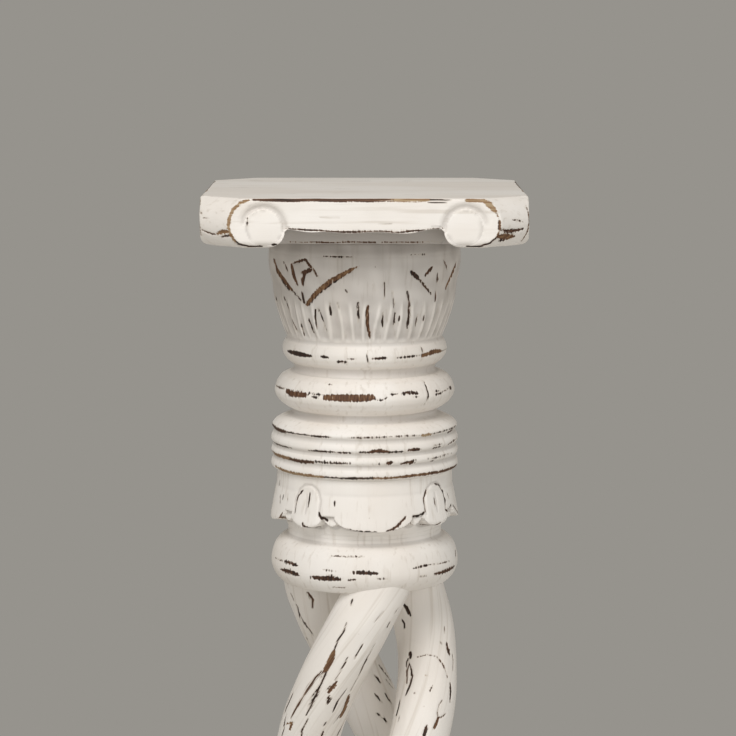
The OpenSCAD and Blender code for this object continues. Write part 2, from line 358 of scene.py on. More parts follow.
class Bench:
    """A blank on the bench: its points in mm, and what the tools leave on them."""

    def __init__(self, piece: Piece) -> None:
        """Takes a blank's points.

        Args:
            piece: The blank.
        """
        self.piece = piece
        self.points = self._read("co")
        count = len(self.points)
        self.bare = np.full(count, FAR)
        self.tone = np.full(count, 0.3)
        # Dust and painted shade, from 0 to 1.
        self.dust_and_shade = np.zeros(count)
        self.dent = np.zeros(count)

    def _read(self, what: str) -> np.ndarray:
        """Reads a property of the points.

        Args:
            what: "co" for places in mm, or "normal".

        Returns:
            One row for each point.
        """
        flat = np.empty(len(self.piece.data.vertices) * 3, np.float32)
        self.piece.data.vertices.foreach_get(what, flat)
        return flat.reshape(-1, 3).astype(float) / (MM if what == "co" else 1)

    def normals(self) -> np.ndarray:
        """The outward direction at each point."""
        return self._read("normal")

    def angle(self) -> np.ndarray:
        """Each point's place round the column, in degrees to the right of the front."""
        return np.degrees(np.arctan2(self.points[:, 1], self.points[:, 0])) + 90

    def down(self) -> np.ndarray:
        """Each point's depth below the top, in mm."""
        return TOP_Z - self.points[:, 2]

    def keep_within(self, half: float, low: float, high: float) -> None:
        """Holds the points inside a square block, and writes them to the mesh.

        Args:
            half: Half of the block's width in mm.
            low: Its underside in mm.
            high: Its top in mm.
        """
        self.points[:, :2] = np.clip(self.points[:, :2], -half, half)
        self.points[:, 2] = np.clip(self.points[:, 2], low, high)
        self.put_back()

    def put_back(self) -> None:
        """Writes the points to the mesh."""
        self.piece.data.vertices.foreach_set("co", (self.points * MM).astype(np.float32).ravel())
        self.piece.data.update()

    def scale_radius(self, change: np.ndarray) -> None:
        """Moves each point out from the column's axis.

        Args:
            change: How far to move each point, in mm.
        """
        radius = np.maximum(np.hypot(self.points[:, 0], self.points[:, 1]), 1e-6)
        self.points[:, :2] *= np.maximum(0, 1 + change / radius)[:, None]
        self.put_back()

    def cut(self, chart: Chart, marks: Iterable[Mark]) -> None:
        """Makes marks, without moving the points yet.

        Args:
            chart: Where the points lie.
            marks: The marks.
        """
        for mark in marks:
            found, gap = chart.gap(mark)
            edge = 0.7
            depth = mark.deep * np.clip((edge - gap) / (mark.width / 2 + edge), 0, 1)
            self.dent[found] = np.maximum(self.dent[found], depth)
            if mark.painted:
                continue
            nearer = gap < self.bare[found]
            self.tone[found] = np.where(nearer & (gap < 1.5), mark.tone, self.tone[found])
            self.bare[found] = np.minimum(self.bare[found], gap)

    def sink(self) -> None:
        """Moves the points in by the depth of the marks."""
        self.points -= self.normals() * self.dent[:, None]
        self.put_back()

    def handle(self, rubbed: np.ndarray, seed: int, tone: float = 0.35,
               turned: bool = False) -> None:
        """Rubs the paint off proud edges in patches, and darkens the hollows with dust and painted
        shade.

        Args:
            rubbed: How hard each point was rubbed, from 0 to 1.
            seed: Which patches.
            tone: The wood's tone there.
            turned: Whether the piece has flat ends that stay painted.
        """
        mesh = self.piece.data
        ends = np.empty(len(mesh.edges) * 2, np.int32)
        mesh.edges.foreach_get("vertices", ends)
        a, b = ends.reshape(-1, 2).T
        count = len(self.points)
        share = 1 / np.maximum(np.bincount(a, minlength=count) + np.bincount(b, minlength=count), 1)
        calm = self.points.copy()
        for _ in range(9):
            for k in range(3):
                total = (np.bincount(a, calm[b, k], count) + np.bincount(b, calm[a, k], count))
                calm[:, k] = total * share
        proud = ((self.points - calm) * self.normals()).sum(1)
        patch = hand(self.points, 70, seed) + 0.5 * hand(self.points, 17, seed + 1)
        gap = 2.4 - 5.0 * np.clip(proud / 0.35, 0, 1) * rubbed * np.clip(0.55 + patch, 0, 1)
        self.tone = np.where(gap < np.minimum(self.bare, 1),
                             tone + 0.25 * hand(self.points, 45, seed + 2), self.tone)
        flat_end = np.hypot(self.points[:, 0], self.points[:, 1]) < FLAT_END
        self.bare = np.where(flat_end & turned, FAR, np.minimum(self.bare, gap))
        # Hollows darken: partly dust, partly painted shade where less light would reach.
        self.dust_and_shade = np.maximum(self.dust_and_shade, 0.4 * np.clip(-proud / 0.3, 0, 1))

    def finish(self, grain: np.ndarray) -> Piece:
        """Writes what the tools left, and the painted shade, as the attributes that the finish
        reads.

        Args:
            grain: Each point's place in the wood in mm, its third number along the grain.

        Returns:
            The piece, shaded smooth.
        """
        mesh = self.piece.data
        for name, values in (("bare", self.bare), ("tone", self.tone), ("dust_and_shade", self.dust_and_shade)):
            mesh.attributes.new(name, "FLOAT", "POINT").data.foreach_set(
                "value", values.astype(np.float32))
        mesh.attributes.new("grain", "FLOAT_VECTOR", "POINT").data.foreach_set(
            "vector", grain.astype(np.float32).ravel())
        bpy.ops.object.select_all(action="DESELECT")
        bpy.context.view_layer.objects.active = self.piece
        self.piece.select_set(True)
        bpy.ops.object.shade_smooth_by_angle(angle=math.radians(55))
        return self.piece


def opposite(marks: Iterable[Mark], turn: float) -> list[Mark]:
    """The same marks seen in a mirror and moved round, for the side that mirrors the front.

    Args:
        marks: The marks of the front.
        turn: The new middle, in degrees.

    Returns:
        The new marks.
    """
    return [replace(mark, line=tuple((turn - along, down) for along, down in mark.line))
            for mark in marks]


def side_charts(bench: Bench, squarely: float, reach: float) -> dict[int, Chart]:
    """Charts of a square piece's four sides, each seen from outside with along to the right.

    Args:
        bench: The piece.
        squarely: How squarely a point has to face the side, as a cosine.
        reach: How far out from the column's axis it has to lie, in mm.

    Returns:
        The chart of the side that each quarter turn from the front gives.
    """
    normals, charts = bench.normals(), {}
    for quarter in QUARTERS:
        turn = math.radians(quarter)
        out = np.array([math.sin(turn), -math.cos(turn)])
        right = np.array([math.cos(turn), math.sin(turn)])
        holds = (normals[:, :2] @ out > squarely) & (bench.points[:, :2] @ out > reach)
        charts[quarter] = Chart(bench.points[:, :2] @ right, bench.down(), holds=holds)
    return charts


# ---------------------------------------------------------------- finishes


def linear(colour: str) -> tuple[float, float, float, float]:
    """Turns an sRGB hex colour to linear.

    Args:
        colour: Such as "#EDE8E0".

    Returns:
        Red, green, blue and 1.
    """
    parts = (int(colour[k:k + 2], 16) / 255 for k in (1, 3, 5))
    red, green, blue = (c / 12.92 if c <= 0.04045 else ((c + 0.055) / 1.055) ** 2.4 for c in parts)
    return red, green, blue, 1.0


def add_node(tree: bpy.types.NodeTree, kind: str, settings: dict[str, object] | None = None,
             inputs: dict[str | int, object] | None = None, give: int | str = 0
             ) -> bpy.types.NodeSocket | None:
    """Adds a node with its settings and links.

    Args:
        tree: The material's node tree.
        kind: The node's type, without its ShaderNode prefix.
        settings: The node's own properties.
        inputs: Each input's value, or the output that is linked to it.
        give: Which output is handed back.

    Returns:
        That output, or None for the last node.
    """
    node = tree.nodes.new("ShaderNode" + kind)
    for key, value in (settings or {}).items():
        setattr(node, key, value)
    for key, value in (inputs or {}).items():
        if isinstance(value, bpy.types.NodeSocket):
            tree.links.new(value, node.inputs[key])
        else:
            node.inputs[key].default_value = value
    return node.outputs[give] if node.outputs else None


def empty_material(name: str) -> bpy.types.Material:
    """Makes a material with nothing in its node tree yet.

    Args:
        name: The material's name.

    Returns:
        The material.
    """
    made = bpy.data.materials.new(name)
    made.use_nodes = True
    made.node_tree.nodes.clear()
    return made


def per_mm(across: float, along: float) -> tuple[float, float, float]:
    """The scale of a pattern of that size in mm across and along the grain."""
    return 1 / across, 1 / across, 1 / along


@dataclass(frozen=True)
class ChalkedAlbesia:
    """White chalk paint brushed over dark-stained albesia and rubbed back.

    To the eye it is matt and slightly uneven, with soft streaks along the wood, hard dark chips
    whose edges follow the fibres, and a thin greyish rim where the paint is nearly through. It also
    greys with dust and painted shade in hollows and under overhangs.
    """

    name: str = "chalk_paint_on_albesia"
    white: str = "#F3EFEA"
    cream: str = "#EDE7E0"
    # Grey for dust and painted shade in hollows and under overhangs.
    thin: str = "#C9BFB2"
    dust_and_shade_grey: str = "#8B837D"
    stain: str = "#2B1D16"
    brown: str = "#5B3D2A"
    worn: str = "#8A6A4A"
    tan: str = "#B0997A"
    fibre_mm: tuple[float, float] = (1.9, 22.0)
    streak_mm: tuple[float, float] = (4.5, 130.0)
    cloud_mm: tuple[float, float] = (60.0, 150.0)
    tooth_mm: tuple[float, float] = (0.9, 0.9)
    chip_edge: float = 3.6
    thinner_mm: float = 0.14
    paint_mm: float = 0.22
    roughness: float = 0.64

    def material(self) -> bpy.types.Material:
        """Builds the material.

        Returns:
            The material, with its nodes linked.
        """
        made = empty_material(self.name)
        tree = made.node_tree
        bare, tone, dust_and_shade, grain = (
            add_node(tree, "Attribute", {"attribute_name": name}, None, give)
            for name, give in (("bare", "Fac"), ("tone", "Fac"), ("dust_and_shade", "Fac"),
                               ("grain", "Vector")))
        fibre, streak, cloud, tooth = (
            add_node(tree, "TexNoise", None, {
                "Vector": add_node(tree, "Mapping", None, {"Vector": grain,
                                                           "Scale": per_mm(*size)}),
                "Scale": 1.0, "Detail": detail})
            for size, detail in ((self.fibre_mm, 5.0), (self.streak_mm, 3.0),
                                 (self.cloud_mm, 3.0), (self.tooth_mm, 2.0)))
        times, plus = {"operation": "MULTIPLY"}, {"operation": "ADD"}
        ease, colour = {"interpolation_type": "SMOOTHSTEP"}, {"data_type": "RGBA"}

        # Paint flakes off along the fibres, and a few flecks of it stay on the bare wood.
        fleck = add_node(tree, "Math", {"operation": "MULTIPLY_ADD"},
                         {0: fibre, 1: self.chip_edge, 2: self.thinner_mm - self.chip_edge / 2})
        edge = add_node(tree, "Math", {"operation": "MAXIMUM"}, {0: bare, 1: -0.9})
        edge = add_node(tree, "Math", plus, {0: edge, 1: fleck})
        chipped = add_node(tree, "MapRange", ease, {0: edge, 1: 0.22, 2: -0.22})
        nearly = add_node(tree, "MapRange", ease, {0: edge, 1: 0.9, 2: 0.1, 4: 0.5})
        clouded = add_node(tree, "MapRange", ease, {0: cloud, 1: 0.35, 2: 0.65})
        streaked = add_node(tree, "MapRange", ease, {0: streak, 1: 0.54, 2: 0.74, 4: 0.42})
        # Painted shade: greys the paint where the dust_and_shade attribute is set, partly dust and
        # partly shade.
        dust_and_shade_share = add_node(tree, "Math", times, {0: dust_and_shade, 1: 0.7})

        paint = add_node(tree, "Mix", colour, {0: clouded, 6: linear(self.white),
                                               7: linear(self.cream)}, 2)
        for share, tint in ((streaked, self.thin), (dust_and_shade_share, self.dust_and_shade_grey), (nearly, self.thin)):
            paint = add_node(tree, "Mix", colour, {0: share, 6: paint, 7: linear(tint)}, 2)
        shade = add_node(tree, "Math", {"operation": "MULTIPLY_ADD"}, {0: fibre, 1: 1.1, 2: -0.55})
        shade = add_node(tree, "Math", plus, {0: tone, 1: shade})
        wood: object = linear(self.stain)
        for low, high, tint in ((0.0, 0.4, self.brown), (0.35, 0.65, self.worn),
                                (0.65, 0.95, self.tan)):
            share = add_node(tree, "MapRange", ease, {0: shade, 1: low, 2: high})
            wood = add_node(tree, "Mix", colour, {0: share, 6: wood, 7: linear(tint)}, 2)

        height = add_node(tree, "Math", times, {0: chipped, 1: -self.paint_mm})
        for pattern, size in ((fibre, 0.13), (streak, 0.13), (tooth, 0.07)):
            raised = add_node(tree, "Math", times, {0: pattern, 1: size})
            height = add_node(tree, "Math", plus, {0: height, 1: raised})
        bump = add_node(tree, "Bump", None, {"Height": height, "Distance": MM, "Strength": 0.8})
        rough = add_node(tree, "MapRange", None, {0: tooth, 1: 0.3, 2: 0.7,
                                                  3: self.roughness - 0.06,
                                                  4: self.roughness + 0.08})
        skin = add_node(tree, "Mix", colour, {0: chipped, 6: paint, 7: wood}, 2)
        shader = add_node(tree, "BsdfPrincipled", None, {
            "Base Color": skin, "Roughness": rough, "Normal": bump, "Specular IOR Level": 0.35})
        add_node(tree, "OutputMaterial", None, {"Surface": shader})
        return made


@dataclass(frozen=True)
class PlainFinish:
    """A finish for the fixings that the finished object mostly hides.

    Bare albesia is pale and dry with fine lines, zinc is a soft grey metal with faint brushing,
    and moulded nylon is a slightly glossy off-white.
    """

    name: str
    light: str
    dark: str
    roughness: float
    metallic: float = 0.0
    size_mm: tuple[float, float] = (1.5, 20.0)

    def material(self) -> bpy.types.Material:
        """Builds the material.

        Returns:
            The material, with its nodes linked.
        """
        made = empty_material(self.name)
        tree = made.node_tree
        place = add_node(tree, "TexCoord", give="Object")
        scaled = add_node(tree, "Mapping", None, {
            "Vector": place, "Scale": tuple(s / MM for s in per_mm(*self.size_mm))})
        lines = add_node(tree, "TexNoise", None, {"Vector": scaled, "Scale": 1.0, "Detail": 4.0})
        tint = add_node(tree, "Mix", {"data_type": "RGBA"},
                        {0: lines, 6: linear(self.dark), 7: linear(self.light)}, 2)
        rough = add_node(tree, "MapRange", None, {0: lines, 3: self.roughness - 0.08,
                                                  4: self.roughness + 0.08})
        bump = add_node(tree, "Bump", None, {"Height": lines, "Distance": 0.1 * MM})
        shader = add_node(tree, "BsdfPrincipled", None, {
            "Base Color": tint, "Roughness": rough, "Metallic": self.metallic, "Normal": bump})
        add_node(tree, "OutputMaterial", None, {"Surface": shader})
        return made


class Slot(Enum):
    """Four material slot names, which nothing in this script uses."""

    PAINT = "painted_wood"
    WOOD = "bare_wood"
    STEEL = "screw_steel"
    NYLON = "glide_nylon"


def hand_over(piece: Piece, node: str, material: bpy.types.Material) -> None:
    """Dresses a finished piece and sets it in its node's place.

    Args:
        piece: The piece.
        node: The CAD node it stands for.
        material: Its finish.
    """
    piece.data.materials.clear()
    piece.data.materials.append(material)
    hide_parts(node)
    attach(piece, "root")
    LOG.info("%s: %d faces for %s", piece.name, len(piece.data.polygons), node)


def saw_into_boards(whole: Piece, name: str, node: str, joint: float,
                    material: bpy.types.Material) -> None:
    """Saws a finished slab at its two glue joints and sets the three boards in place.

    Args:
        whole: The slab, which is used up.
        name: How the boards' own names begin.
        node: How their CAD nodes' names begin.
        joint: How far the glue joints lie from the middle, in mm.
        material: The finish.
    """
    for place, low, high in (("front", None, -joint), ("middle", -joint, joint),
                             ("back", joint, None)):
        board = whole.copy()
        board.data = whole.data.copy()
        board.name = board.data.name = f"{name}_{place}_board"
        bpy.context.collection.objects.link(board)
        for cut, inner in ((low, True), (high, False)):
            if cut is None:
                continue
            with editing(board):
                bpy.ops.mesh.select_all(action="SELECT")
                bpy.ops.mesh.bisect(plane_co=(0, cut * MM, 0), plane_no=(0, 1, 0),
                                    use_fill=True, clear_inner=inner, clear_outer=not inner)
        hand_over(board, f"{node}_{place}_board", material)
    bpy.data.objects.remove(whole)


# ---------------------------------------------------------------- the scrolled top


@dataclass(frozen=True)
class ScrolledTop:
    """The square top: three boards glued edge to edge, with a scroll at each end of each side."""

    half: float = 150.0
    thick: float = 45.0
    corner: float = 26.6
    roll_radius: float = 27.0
    roll_height: float = 23.4
    fascia: float = 29.6
    overhang: float = 45.0
    pocket_half: float = 71.0
    eye_along: float = 90.0
    eye_down: float = 27.2
    eye_radius: float = 16.5
    joint: float = 50.0
    voxel: float = 1.2

    def blank(self) -> Piece:
        """Saws and glues the blank, with rolled corners and the hollows under the four sides.

        Returns:
            The blank with fine even faces.
        """
        half, low = self.half, TOP_Z - self.thick
        slab = sawn_slab("scrolled_top", half, low, TOP_Z, self.corner)
        with editing(slab) as shape:
            pick_edges(shape, upright)
            bpy.ops.mesh.subdivide(number_cuts=17)
        bench = Bench(slab)
        roll_place = (2 * half - self.corner) / math.sqrt(2) - self.roll_radius
        rise = bench.points[:, 2] - low - self.roll_height
        reach = roll_place + np.sqrt(np.maximum(self.roll_radius ** 2 - rise ** 2, 0))
        for flat, slid in ((0, 1), (1, 0)):
            on = np.abs(np.abs(bench.points[:, flat]) - half) < 0.01
            new = (reach * math.sqrt(2) - half) * np.sign(bench.points[:, slid])
            bench.points[on, slid] = new[on]
        bench.put_back()
        for x, y in ((0, -1), (0, 1), (-1, 0), (1, 0)):
            across = self.pocket_half
            middle = half - self.overhang / 2 + 10
            deep = self.overhang / 2 + 10
            size = (across, deep) if x == 0 else (deep, across)
            chop_out(slab, block("hollow",
                                 (x * middle - size[0], y * middle - size[1], low - 10),
                                 (x * middle + size[0], y * middle + size[1],
                                  TOP_Z - self.fascia)))
        even_faces(slab, self.voxel, 3)
        return slab

    def soften(self, bench: Bench) -> None:
        """Rounds the arrises as far as the carver did.

        Args:
            bench: The top.
        """
        points = bench.points
        low = TOP_Z - self.thick
        reach = np.abs(points[:, :2]).max(1)
        side = np.abs(points[:, :2]).argmax(1)

        def ease(out: np.ndarray, limit: float, up: np.ndarray, top: float,
                 radius: float) -> tuple[np.ndarray, np.ndarray]:
            """Rounds one edge between two faces.

            Args:
                out: How far out each point lies, in mm.
                limit: How far out the first face lies.
                up: How high each point lies, in mm.
                top: How high the second face lies.
                radius: The radius of the rounding.

            Returns:
                How far each point near the edge moves in from the first face and the second.
            """
            a, b = out - (limit - radius), up - (top - radius)
            size = np.hypot(a, b)
            over = (a > 0) & (b > 0) & (size > radius)
            shrink = np.where(over, radius / np.maximum(size, 1e-6), 1)
            return a * (1 - shrink), b * (1 - shrink)

        index = np.arange(len(points))
        for top, sign, radius in ((TOP_Z, 1, 3.2), (-low, -1, 7.5)):
            out, up = ease(reach, self.half, points[:, 2] * sign, top, radius)
            points[index, side] -= np.sign(points[index, side]) * out
            points[:, 2] -= sign * up
        for flat, other in ((0, 1), (1, 0)):
            across = np.abs(points[:, flat])
            here = (np.abs(points[:, other]) > self.half - self.overhang - 1) & (across < 90)
            out, up = ease(-across, -self.pocket_half, -points[:, 2], -low, 17.0)
            lobe = here & (across > self.pocket_half - 1.5)
            points[:, flat] += np.where(lobe, np.sign(points[:, flat]) * out, 0)
            points[:, 2] += np.where(lobe, up, 0)
            hollow = here & (across < self.pocket_half - 1) & (
                np.abs(points[:, 2] - (TOP_Z - self.fascia)) < 4)
            wave = 0.6 * np.sin(points[:, flat] / 7.3) - 1.6 + 3.1 * smooth_step((across - 40) / 30)
            points[:, 2] += np.where(hollow, wave, 0)
        bench.put_back()

    def faces(self, bench: Bench) -> dict[int, Chart]:
        """Charts of the fascias of the four sides, by their quarter turn from the front."""
        return side_charts(bench, 0.35, self.half - 12)

    def carve_scrolls(self, bench: Bench) -> None:
        """Cuts the groove that winds round each eye and dies out on its outer side.

        Args:
            bench: The top.
        """
        for chart in self.faces(bench).values():
            for side in (-1, 1):
                x = (chart.along * side - self.eye_along)
                y = chart.down - self.eye_down
                radius = np.hypot(x, y)
                turn = np.degrees(np.arctan2(x, -y))
                ring = self.eye_radius + 3.2 + np.clip(turn, -60, 90) * 0.018
                fade = smooth_step((95 - turn) / 60) * smooth_step((turn + 112) / 26)
                inner = np.clip((radius - (ring - 3.4)) / 1.8, 0, 1)
                outer = np.clip(((ring + 5.5) - radius) / 6.5, 0, 1)
                groove = 3.0 * fade * smooth_step(inner) * smooth_step(outer)
                dome = 0.8 * np.clip(radius / self.eye_radius, 0, 1) ** 2 * (radius
                                                                          < self.eye_radius)
                dent = np.where(chart.holds & (radius < 32), groove + dome, 0)
                bench.dent = np.maximum(bench.dent, dent)

    def marks(self, bench: Bench) -> None:
        """Makes the chips, cracks and rubbed arrises of the sides and corners.

        Args:
            bench: The top.
        """
        charts, normals = self.faces(bench), bench.normals()
        front = (
            Mark(((-100, 1.0), (-62, 1.3), (-30, 1.1)), 4.0, 0.4, 0.26, (0.4, 0.9), 0.3),
            Mark(((-32, 1.2), (0, 1.1), (26, 1.2)), 3.8, 0.4, 0.34, (0.9, 0.9), 0.3),
            Mark(((24, 1.1), (40, 1.1), (58, 1.2)), 3.8, 0.3, 0.8, (0.9, 0.6), 0.2),
            Mark(((56, 1.0), (79, 1.2)), 1.3, 0.2, 0.2, (0.7, 0.3)),
            Mark(((57, 3.6), (74, 3.8)), 1.2, 0.2, 0.2, (0.7, 0.3)),
            Mark(((91, 1.8), (107, 1.8)), 3.0, 0.3, 0.85, (0.6, 0.6), 0.2),
            Mark(((-104, 1.6), (-112, 4.4), (-118, 10), (-121.6, 18), (-122.3, 26),
                  (-120.5, 33), (-116.5, 39)), 3.3, 0.3, 0.8, (0.5, 0.9), 0.3),
            Mark(((-119, 36), (-113, 41), (-104, 43.6), (-92, 44)), 2.4, 0.5, 0.12, (0.9, 0.4)),
            Mark(((-83, 42.5), (-79, 41.5)), 3.4, 0.8, 0.1),
            Mark(((-105, 17), (-105.5, 25)), 1.5, 0.7, 0.15),
            Mark(((107, 2), (113, 6), (118, 12)), 5.4, 0.3, 0.85, (0.5, 0.4), 0.5),
            Mark(((118, 12), (121.6, 20), (122, 28), (118.5, 36)), 1.8, 0.3, 0.6, (0.8, 0.8)),
            Mark(((92, 44), (104, 43.4), (113, 40.6), (118.5, 36)), 2.2, 0.5, 0.15, (0.4, 0.9)),
            Mark(((-71, 27), (-50, 28.4), (-30, 29.8), (0, 30), (30, 30), (50, 28.6), (70, 27)),
                 1.9, 0.2, 0.25, (0.6, 0.6), 0.4),
            Mark(((-40, 17), (-22, 17.3)), 1.0, 0.2, 0.2),
            Mark(((12, 23), (25, 22.6)), 0.9, 0.2, 0.2),
            Mark(((121, 18), (121, 33)), 1.6, 0.3, 0.3, (0.3, 0.3)),
        )
        core = self.half - self.overhang
        facing = normals[:, :2] @ np.array([0, -1])
        back_wall = (facing > 0.3) & (np.abs(bench.points[:, 1] + core) < 4)
        bench.cut(Chart(bench.points[:, 0], bench.down(), holds=back_wall), (
            Mark(((-70, 43.2), (-30, 43.5), (10, 43.2)), 1.6, 0.2, 0.42, (0.5, 0.5), 0.6),
            Mark(((16, 43.4), (44, 43.2), (69, 43.6)), 1.5, 0.2, 0.42, (0.5, 0.5), 0.6)))
        bench.cut(charts[0], front)
        bench.cut(charts[180], opposite(front, 3))
        bench.cut(charts[90], opposite(front[:9], -2))
        bench.cut(charts[270], front[:12])
        corner = np.radians(45)
        ways = {"left": (-1, -1), "right": (1, -1), "back_right": (1, 1), "back_left": (-1, 1)}
        corners = {
            "left": (Mark(((-19, 30), (-8, 33), (2, 34)), 1.8, 0.6, 0.4, (0.3, 0.3), 0.3),
                     Mark(((2, 33), (10, 31), (19, 30)), 4.0, 0.9, 0.62, (0.2, 0.5), 0.5),
                     Mark(((6, 36), (18, 34)), 1.8, 0.6, 0.25, (0.3, 0.4), 0.3),
                     Mark(((-14, 19), (-6, 19.5)), 1.0, 0.3, 0.4),
                     Mark(((-19, 14), (-15, 16)), 1.4, 0.3, 0.5)),
            "right": (Mark(((-4, 20), (4, 21), (10, 23)), 1.4, 0.3, 0.3, ragged=0.4),
                      Mark(((-19, 28), (-10, 30), (0, 30.5), (12, 29)), 3.4, 0.9, 0.25,
                           (0.5, 0.2), 0.6),
                      Mark(((-19, 34.5), (-12, 35), (-4, 36), (3, 36)), 6.0, 0.6, 0.5,
                           (0.5, 0.3), 0.8),
                      Mark(((-16, 38.6), (-8, 39.4)), 2.2, 0.5, 0.12, ragged=0.5),
                      Mark(((18, 8), (19, 22), (17.5, 41)), 2.2, 0.3, 0.45, (0.4, 0.5), 0.3)),
        }
        corners["back_right"], corners["back_left"] = corners["left"], corners["right"]
        for name, (x, y) in ways.items():
            out = np.array([x, y]) * math.cos(corner)
            right = np.array([-out[1], out[0]])
            holds = normals[:, :2] @ out > 0.6
            bench.cut(Chart(bench.points[:, :2] @ right, bench.down(), holds=holds), corners[name])
        top = Chart(bench.points[:, 0], bench.points[:, 1], holds=normals[:, 2] > 0.8)
        dice = np.random.default_rng(12)
        specks = [Mark(((x, y), (x + dice.uniform(4, 26), y + dice.uniform(-0.8, 0.8))),
                       dice.uniform(0.7, 1.2), 0.15, 0.25, (0.2, 0.2))
                  for x, y in dice.uniform(-130, 115, (16, 2))]
        bench.cut(top, specks)

    def build(self, material: bpy.types.Material) -> None:
        """Carves the top, saws it at its glue joints and sets the three boards in place.

        Args:
            material: The finish.
        """
        whole = self.blank()
        bench = Bench(whole)
        self.soften(bench)
        self.carve_scrolls(bench)
        self.marks(bench)
        bench.dent += 0.25 * (1 + hand(bench.points, 38, 5)) * (bench.down() > 1.5)
        bench.sink()
        facing = bench.normals()[:, 1]
        sides = np.abs(bench.points[:, :2])
        # Painted shade in the hollows under the fascias of the four sides.
        under_fascia_shade = (sides.max(1) < self.half - 4) & (sides.sum(1) < 225) & (bench.down() > 24)
        bench.dust_and_shade = np.where(under_fascia_shade, 0.75, 0)
        bench.handle(np.where(facing < -0.2, 0.15, 0.5) * (bench.down() < 44.5), 21)
        under = bench.down() > self.thick - 0.6
        bench.bare = np.where(under, np.maximum(bench.bare, 2.5), bench.bare)
        bench.keep_within(self.half, TOP_Z - self.thick, TOP_Z)
        bench.finish(bench.points[:, [1, 2, 0]])
        saw_into_boards(whole, "top", "abacus", self.joint, material)


# ---------------------------------------------------------------- turned pieces


@dataclass(frozen=True)
class TurnedPiece:
    """What all turned pieces share: how finely they are turned and how uneven the hand is."""

    columns: int = 430
    step: float = 1.35
    soft: float = 0.8
    wobble: float = 0.35

    def turned(self, name: str, outline: Outline, columns: int | None = None,
               step: float | None = None) -> Bench:
        """Turns an outline and puts the piece on the bench.

        Args:
            name: The piece's name.
            outline: (radius, depth) corners in mm.
            columns: Steps to the turn, if not the usual number.
            step: The height of a row, if not the usual one.

        Returns:
            The bench with the piece on it.
        """
        line = sanded(outline, step or self.step, self.soft)
        bench = Bench(turn_on_lathe(name, line, columns or self.columns))
        sides = smooth_step((np.hypot(bench.points[:, 0], bench.points[:, 1]) - 40) / 20)
        bench.scale_radius(-self.wobble * 0.5 * (1 + hand(bench.points, 55, len(name))) * sides)
        return bench

    @staticmethod
    def chart(bench: Bench) -> Chart:
        """The chart of a turned piece: degrees round the column, and mm down."""
        return Chart(bench.angle(), bench.down(), unit=1.5, full_turn=360)

    @staticmethod
    def behind(bench: Bench) -> np.ndarray:
        """1 on the back of the column and 0 on its front, with the sides between."""
        away = np.abs((bench.angle() + 180) % 360 - 180)
        return smooth_step((away - 70) / 40)


